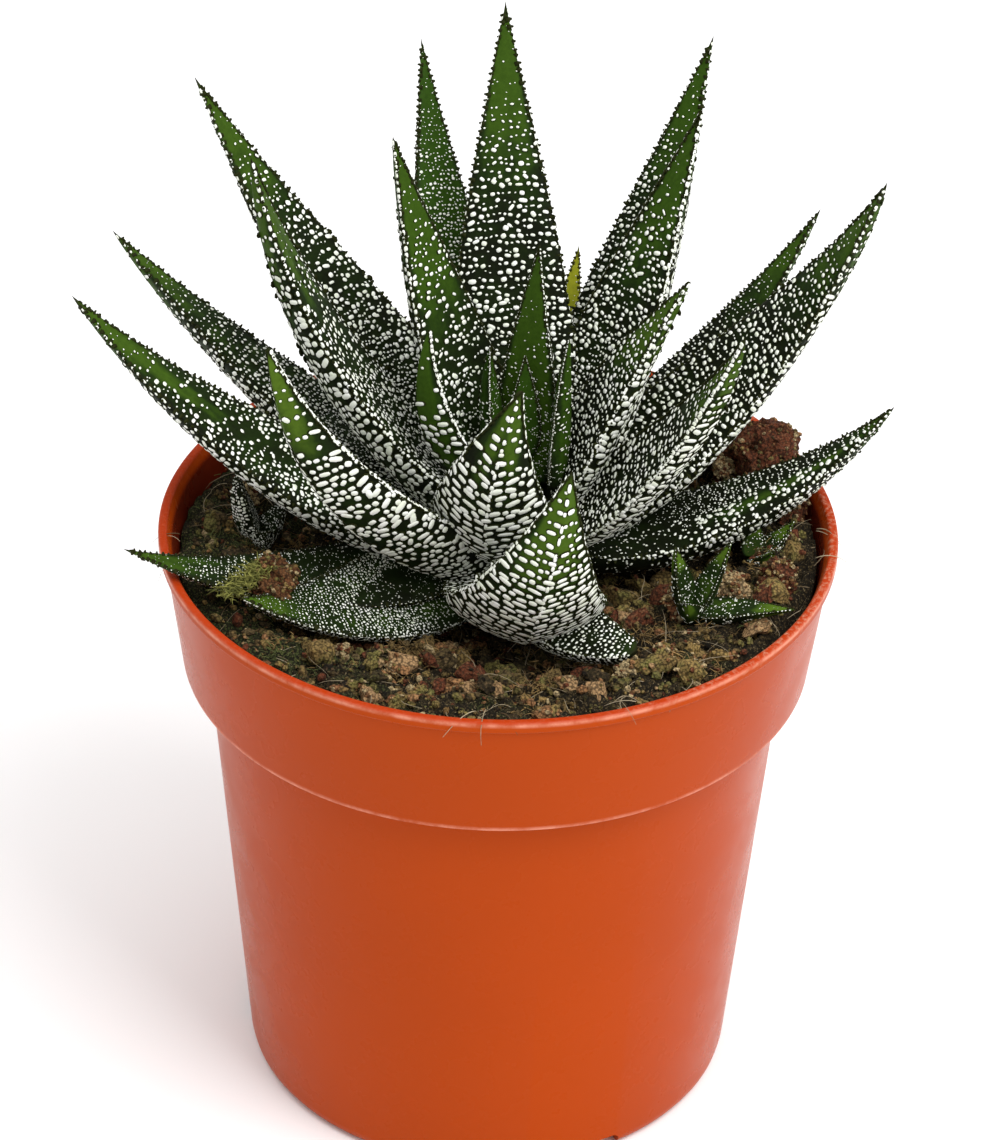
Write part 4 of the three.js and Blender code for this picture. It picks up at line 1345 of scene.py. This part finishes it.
def rim_fibres_shape(draw):
    """Pale fibres that hang over the lip."""
    shape = bmesh.new()
    for bearing, spread, count in RIM_FIBRES:
        places, turn = [], math.radians(bearing)
        for _ in range(count):
            angle = turn + math.radians(draw.uniform(-spread, spread))
            height = draw.uniform(*RIM_FIBRE_HEIGHT)
            places.append(Vector((STRAND_REACH * math.cos(angle), STRAND_REACH * math.sin(angle), height)))
        fibres = strands_shape(places, draw, (0.0035, 0.0075), (0.00006, 0.00012), (0.4, 0.95), 0.95,
                               turns=(turn - 1.2, turn + 1.2))
        shape = joined(shape, fibres)
    return shape


# ---------------------------------------------------------------- stage

def build_camera():
    """The camera that the photograph was taken with, as its view of the pot gives it."""
    back = Vector((0, -math.cos(CAMERA_TILT), math.sin(CAMERA_TILT)))
    right = Vector((1, 0, 0))
    up = back.cross(right)
    turned_right = right * math.cos(CAMERA_ROLL) + up * math.sin(CAMERA_ROLL)
    turned_up = up * math.cos(CAMERA_ROLL) - right * math.sin(CAMERA_ROLL)
    place = matrix_of(turned_right, turned_up, back, CAMERA_AIM + back * CAMERA_DISTANCE)
    data = bpy.data.cameras.new("camera")
    data.lens = CAMERA_LENS
    data.sensor_width = SENSOR_WIDTH
    data.sensor_fit = "AUTO"
    data.clip_start = 0.05
    data.clip_end = 20
    camera = bpy.data.objects.new("camera", data)
    camera.matrix_world = place
    bpy.context.scene.collection.objects.link(camera)
    bpy.context.scene.camera = camera


def soft_light(name, place, aim, side, power):
    """A white square light that faces the aim."""
    data = bpy.data.lights.new(name, "AREA")
    data.shape = "RECTANGLE"
    data.size = data.size_y = side
    data.energy = power
    light = bpy.data.objects.new(name, data)
    light.location = place
    light.rotation_euler = (Vector(aim) - Vector(place)).to_track_quat("-Z", "Y").to_euler()
    bpy.context.scene.collection.objects.link(light)


# ---------------------------------------------------------------- operators

def soil_piece(shape, name, material, flat=False):
    """A piece of one material that stands for the soil."""
    finish_piece(shape, name, [material], "soil", "soil", flat=flat)


class HAWORTHIA_OT_pot(bpy.types.Operator):
    """Turns the pot, cuts its notches and drain holes and gives it its plastic"""

    bl_idname = "haworthia.pot"
    bl_label = "Build the pot"

    def execute(self, context):
        pot = context.scene.haworthia_pot
        piece = finish_piece(pot_shape(pot), "nursery_pot", [pot_plastic(pot)], "pot_plastic", "pot")
        solid = cut(piece, notch_cutters())
        solid.polygons.foreach_set("use_smooth", [True] * len(solid.polygons))
        solid.set_sharp_from_angle(angle=math.radians(35))
        return {"FINISHED"}


class HAWORTHIA_OT_soil(bpy.types.Operator):
    """Fills the pot with peat and strews its crumbs, clods, fibres and moss"""

    bl_idname = "haworthia.soil"
    bl_label = "Build the soil"

    def execute(self, context):
        pot, soil = context.scene.haworthia_pot, context.scene.haworthia_soil
        blades = rosette_blades()
        draw = random.Random(SEED)
        noise.seed_set(NOISE_SEED)
        soil_piece(soil_shape(pot, soil, blades), "peat_bed", peat(soil))
        crumb = crumb_peat(soil)
        clods, small_clods = clods_shape(soil, blades, draw)
        soil_piece(grains_on(clods, soil.grains, draw), "clod_grains", crumb, flat=True)
        soil_piece(grains_on(small_clods, soil.grains, draw), "peat_grains", crumb, flat=True)
        soil_piece(joined(clods, small_clods), "peat_clods", crumb, flat=True)
        soil_piece(crumbs_shape(soil, blades, draw), "peat_crumbs", crumb, flat=True)
        straw = strand_skin("root_fibre", (0.1, 0.065, 0.03), (0.5, 0.42, 0.28))
        places = scatter_on_soil(soil.fibres, draw, blades, soil.level, 0.001)
        fibres = strands_shape(places, draw, (0.003, 0.012), (0.00005, 0.00011), (0.1, 0.6), 0.4)
        soil_piece(kept_inside(fibres), "root_fibres", straw)
        soil_piece(rim_fibres_shape(draw), "rim_fibres", straw)
        moss = strand_skin("moss_strand", (0.016, 0.024, 0.008), (0.15, 0.17, 0.05))
        soil_piece(fluff_shape(soil, blades, draw, 2, mossy, (0.0007, 0.002)), "moss_tufts", moss)
        golden = strand_skin("golden_moss_strand", (0.07, 0.075, 0.015), (0.34, 0.33, 0.08))
        soil_piece(clod_moss_shape(draw), "clod_moss", golden)
        fluff = strand_skin("peat_strand", (0.04, 0.022, 0.008), (0.42, 0.27, 0.1))
        soil_piece(fluff_shape(soil, blades, draw, 3, unmossy, (0.0006, 0.0018)), "peat_fluff", fluff)
        return {"FINISHED"}


class HAWORTHIA_OT_leaves(bpy.types.Operator):
    """Grows every leaf of the rosette with its tubercles and toothed margins"""

    bl_idname = "haworthia.leaves"
    bl_label = "Build the leaves"

    def execute(self, context):
        leaf = context.scene.haworthia_leaf
        skin, white = leaf_skin(leaf), tubercle_white(leaf)
        yellow = leaf_skin(leaf, "leaf_skin_yellowing", yellowing=True)
        for index, (name, blade) in enumerate(rosette_blades().items()):
            draw = random.Random(SEED + 17 * index)
            look = LOOKS.get(name, USUAL_LOOK)
            shape = leaf_shape(blade, look, leaf.crowding, leaf.relief, draw)
            own_skin, slot = skin, "leaf"
            if name == YELLOW_LEAF:
                own_skin, slot = yellow, "yellowing_leaf"
            elif "young" in name or "bud" in name:
                slot = "young_leaf"
            finish_piece(shape, name.replace("leaf_", "blade_"), [own_skin, white], slot, name)
        return {"FINISHED"}


class HAWORTHIA_OT_offsets(bpy.types.Operator):
    """Grows the little rosettes that come up in the soil"""

    bl_idname = "haworthia.offsets"
    bl_label = "Build the offsets"

    def execute(self, context):
        leaf = context.scene.haworthia_leaf
        materials = [leaf_skin(leaf, "offset_skin"), tubercle_white(leaf)]
        for index, (name, root, leaves) in enumerate(OFFSETS):
            draw = random.Random(SEED + 1000 + index)
            shape = bmesh.new()
            for turn, rise, curl, length, width, thickness in leaves:
                blade = Blade(root, turn, 0, rise, curl, length, width, thickness)
                young = leaf_shape(blade, OFFSET_LOOKS[name], 1.0, 0.6 * leaf.relief, draw, fine=1.6)
                shape = joined(shape, young)
            finish_piece(shape, name.replace("offset_", "small_rosette_"), materials, "young_leaf", name)
        return {"FINISHED"}


class HAWORTHIA_OT_stem(bpy.types.Operator):
    """Gives the short stem inside the rosette its dry brown skin"""

    bl_idname = "haworthia.stem"
    bl_label = "Finish the stem"

    def execute(self, context):
        bark = stem_bark()
        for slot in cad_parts["stem"].material_slots:
            slot.material = bark
        return {"FINISHED"}


class HAWORTHIA_OT_stage(bpy.types.Operator):
    """Sets the pale floor, the soft light and the camera of the photograph"""

    bl_idname = "haworthia.stage"
    bl_label = "Build the stage"

    def execute(self, context):
        stage = context.scene.haworthia_stage
        floor = bmesh.new()
        bmesh.ops.create_grid(floor, x_segments=4, y_segments=4, size=FLOOR_REACH)
        mesh = bpy.data.meshes.new("studio_floor")
        floor.to_mesh(mesh)
        floor.free()
        recipe = Recipe("studio_floor", roughness=0.9, specular=0.1)
        paper = recipe.patches(3, 2, 0.3, 0.7)
        recipe.colour(recipe.blend(paper, [0.99 * c for c in stage.floor], tuple(stage.floor)))
        mesh.materials.append(recipe.material)
        ground = bpy.data.objects.new("studio_floor", mesh)
        context.scene.collection.objects.link(ground)
        world = bpy.data.worlds.new("studio")
        world.use_nodes = True
        world.node_tree.nodes["Background"].inputs["Color"].default_value = (1, 1, 1, 1)
        world.node_tree.nodes["Background"].inputs["Strength"].default_value = stage.surround
        context.scene.world = world
        soft_light("key", KEY_PLACE, LIT_PLACE, KEY_SIDE, stage.key_power)
        soft_light("top", TOP_PLACE, TOP_AIM, TOP_SIDE, stage.top_power)
        context.scene.view_settings.view_transform = "Standard"
        build_camera()
        return {"FINISHED"}


class HAWORTHIA_PT_panel(bpy.types.Panel):
    """Lists the pieces in the 3D view's sidebar"""

    bl_idname = "HAWORTHIA_PT_panel"
    bl_label = "Potted haworthia"
    bl_space_type = "VIEW_3D"
    bl_region_type = "UI"
    bl_category = "Haworthia"

    def draw(self, context):
        column = self.layout.column()
        for builder in BUILDERS:
            column.operator(builder.bl_idname)
        for settings in SETTINGS:
            group = getattr(context.scene, settings)
            for key in SETTINGS[settings].__annotations__:
                column.prop(group, key)


BUILDERS = (
    HAWORTHIA_OT_pot, HAWORTHIA_OT_soil, HAWORTHIA_OT_stem, HAWORTHIA_OT_leaves,
    HAWORTHIA_OT_offsets, HAWORTHIA_OT_stage,
)
SETTINGS = {
    "haworthia_pot": PotSettings,
    "haworthia_leaf": LeafSettings,
    "haworthia_soil": SoilSettings,
    "haworthia_stage": StageSettings,
}


def register():
    for kind in (*SETTINGS.values(), *BUILDERS, HAWORTHIA_PT_panel):
        bpy.utils.register_class(kind)
    for name, kind in SETTINGS.items():
        setattr(bpy.types.Scene, name, bpy.props.PointerProperty(type=kind))


def unregister():
    for name in SETTINGS:
        delattr(bpy.types.Scene, name)
    for kind in reversed((*SETTINGS.values(), *BUILDERS, HAWORTHIA_PT_panel)):
        bpy.utils.unregister_class(kind)


def main():
    register()
    bpy.ops.haworthia.pot()
    bpy.ops.haworthia.soil()
    bpy.ops.haworthia.stem()
    bpy.ops.haworthia.leaves()
    bpy.ops.haworthia.offsets()
    bpy.ops.haworthia.stage()
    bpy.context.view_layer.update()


if __name__ == "__main__":
    main()
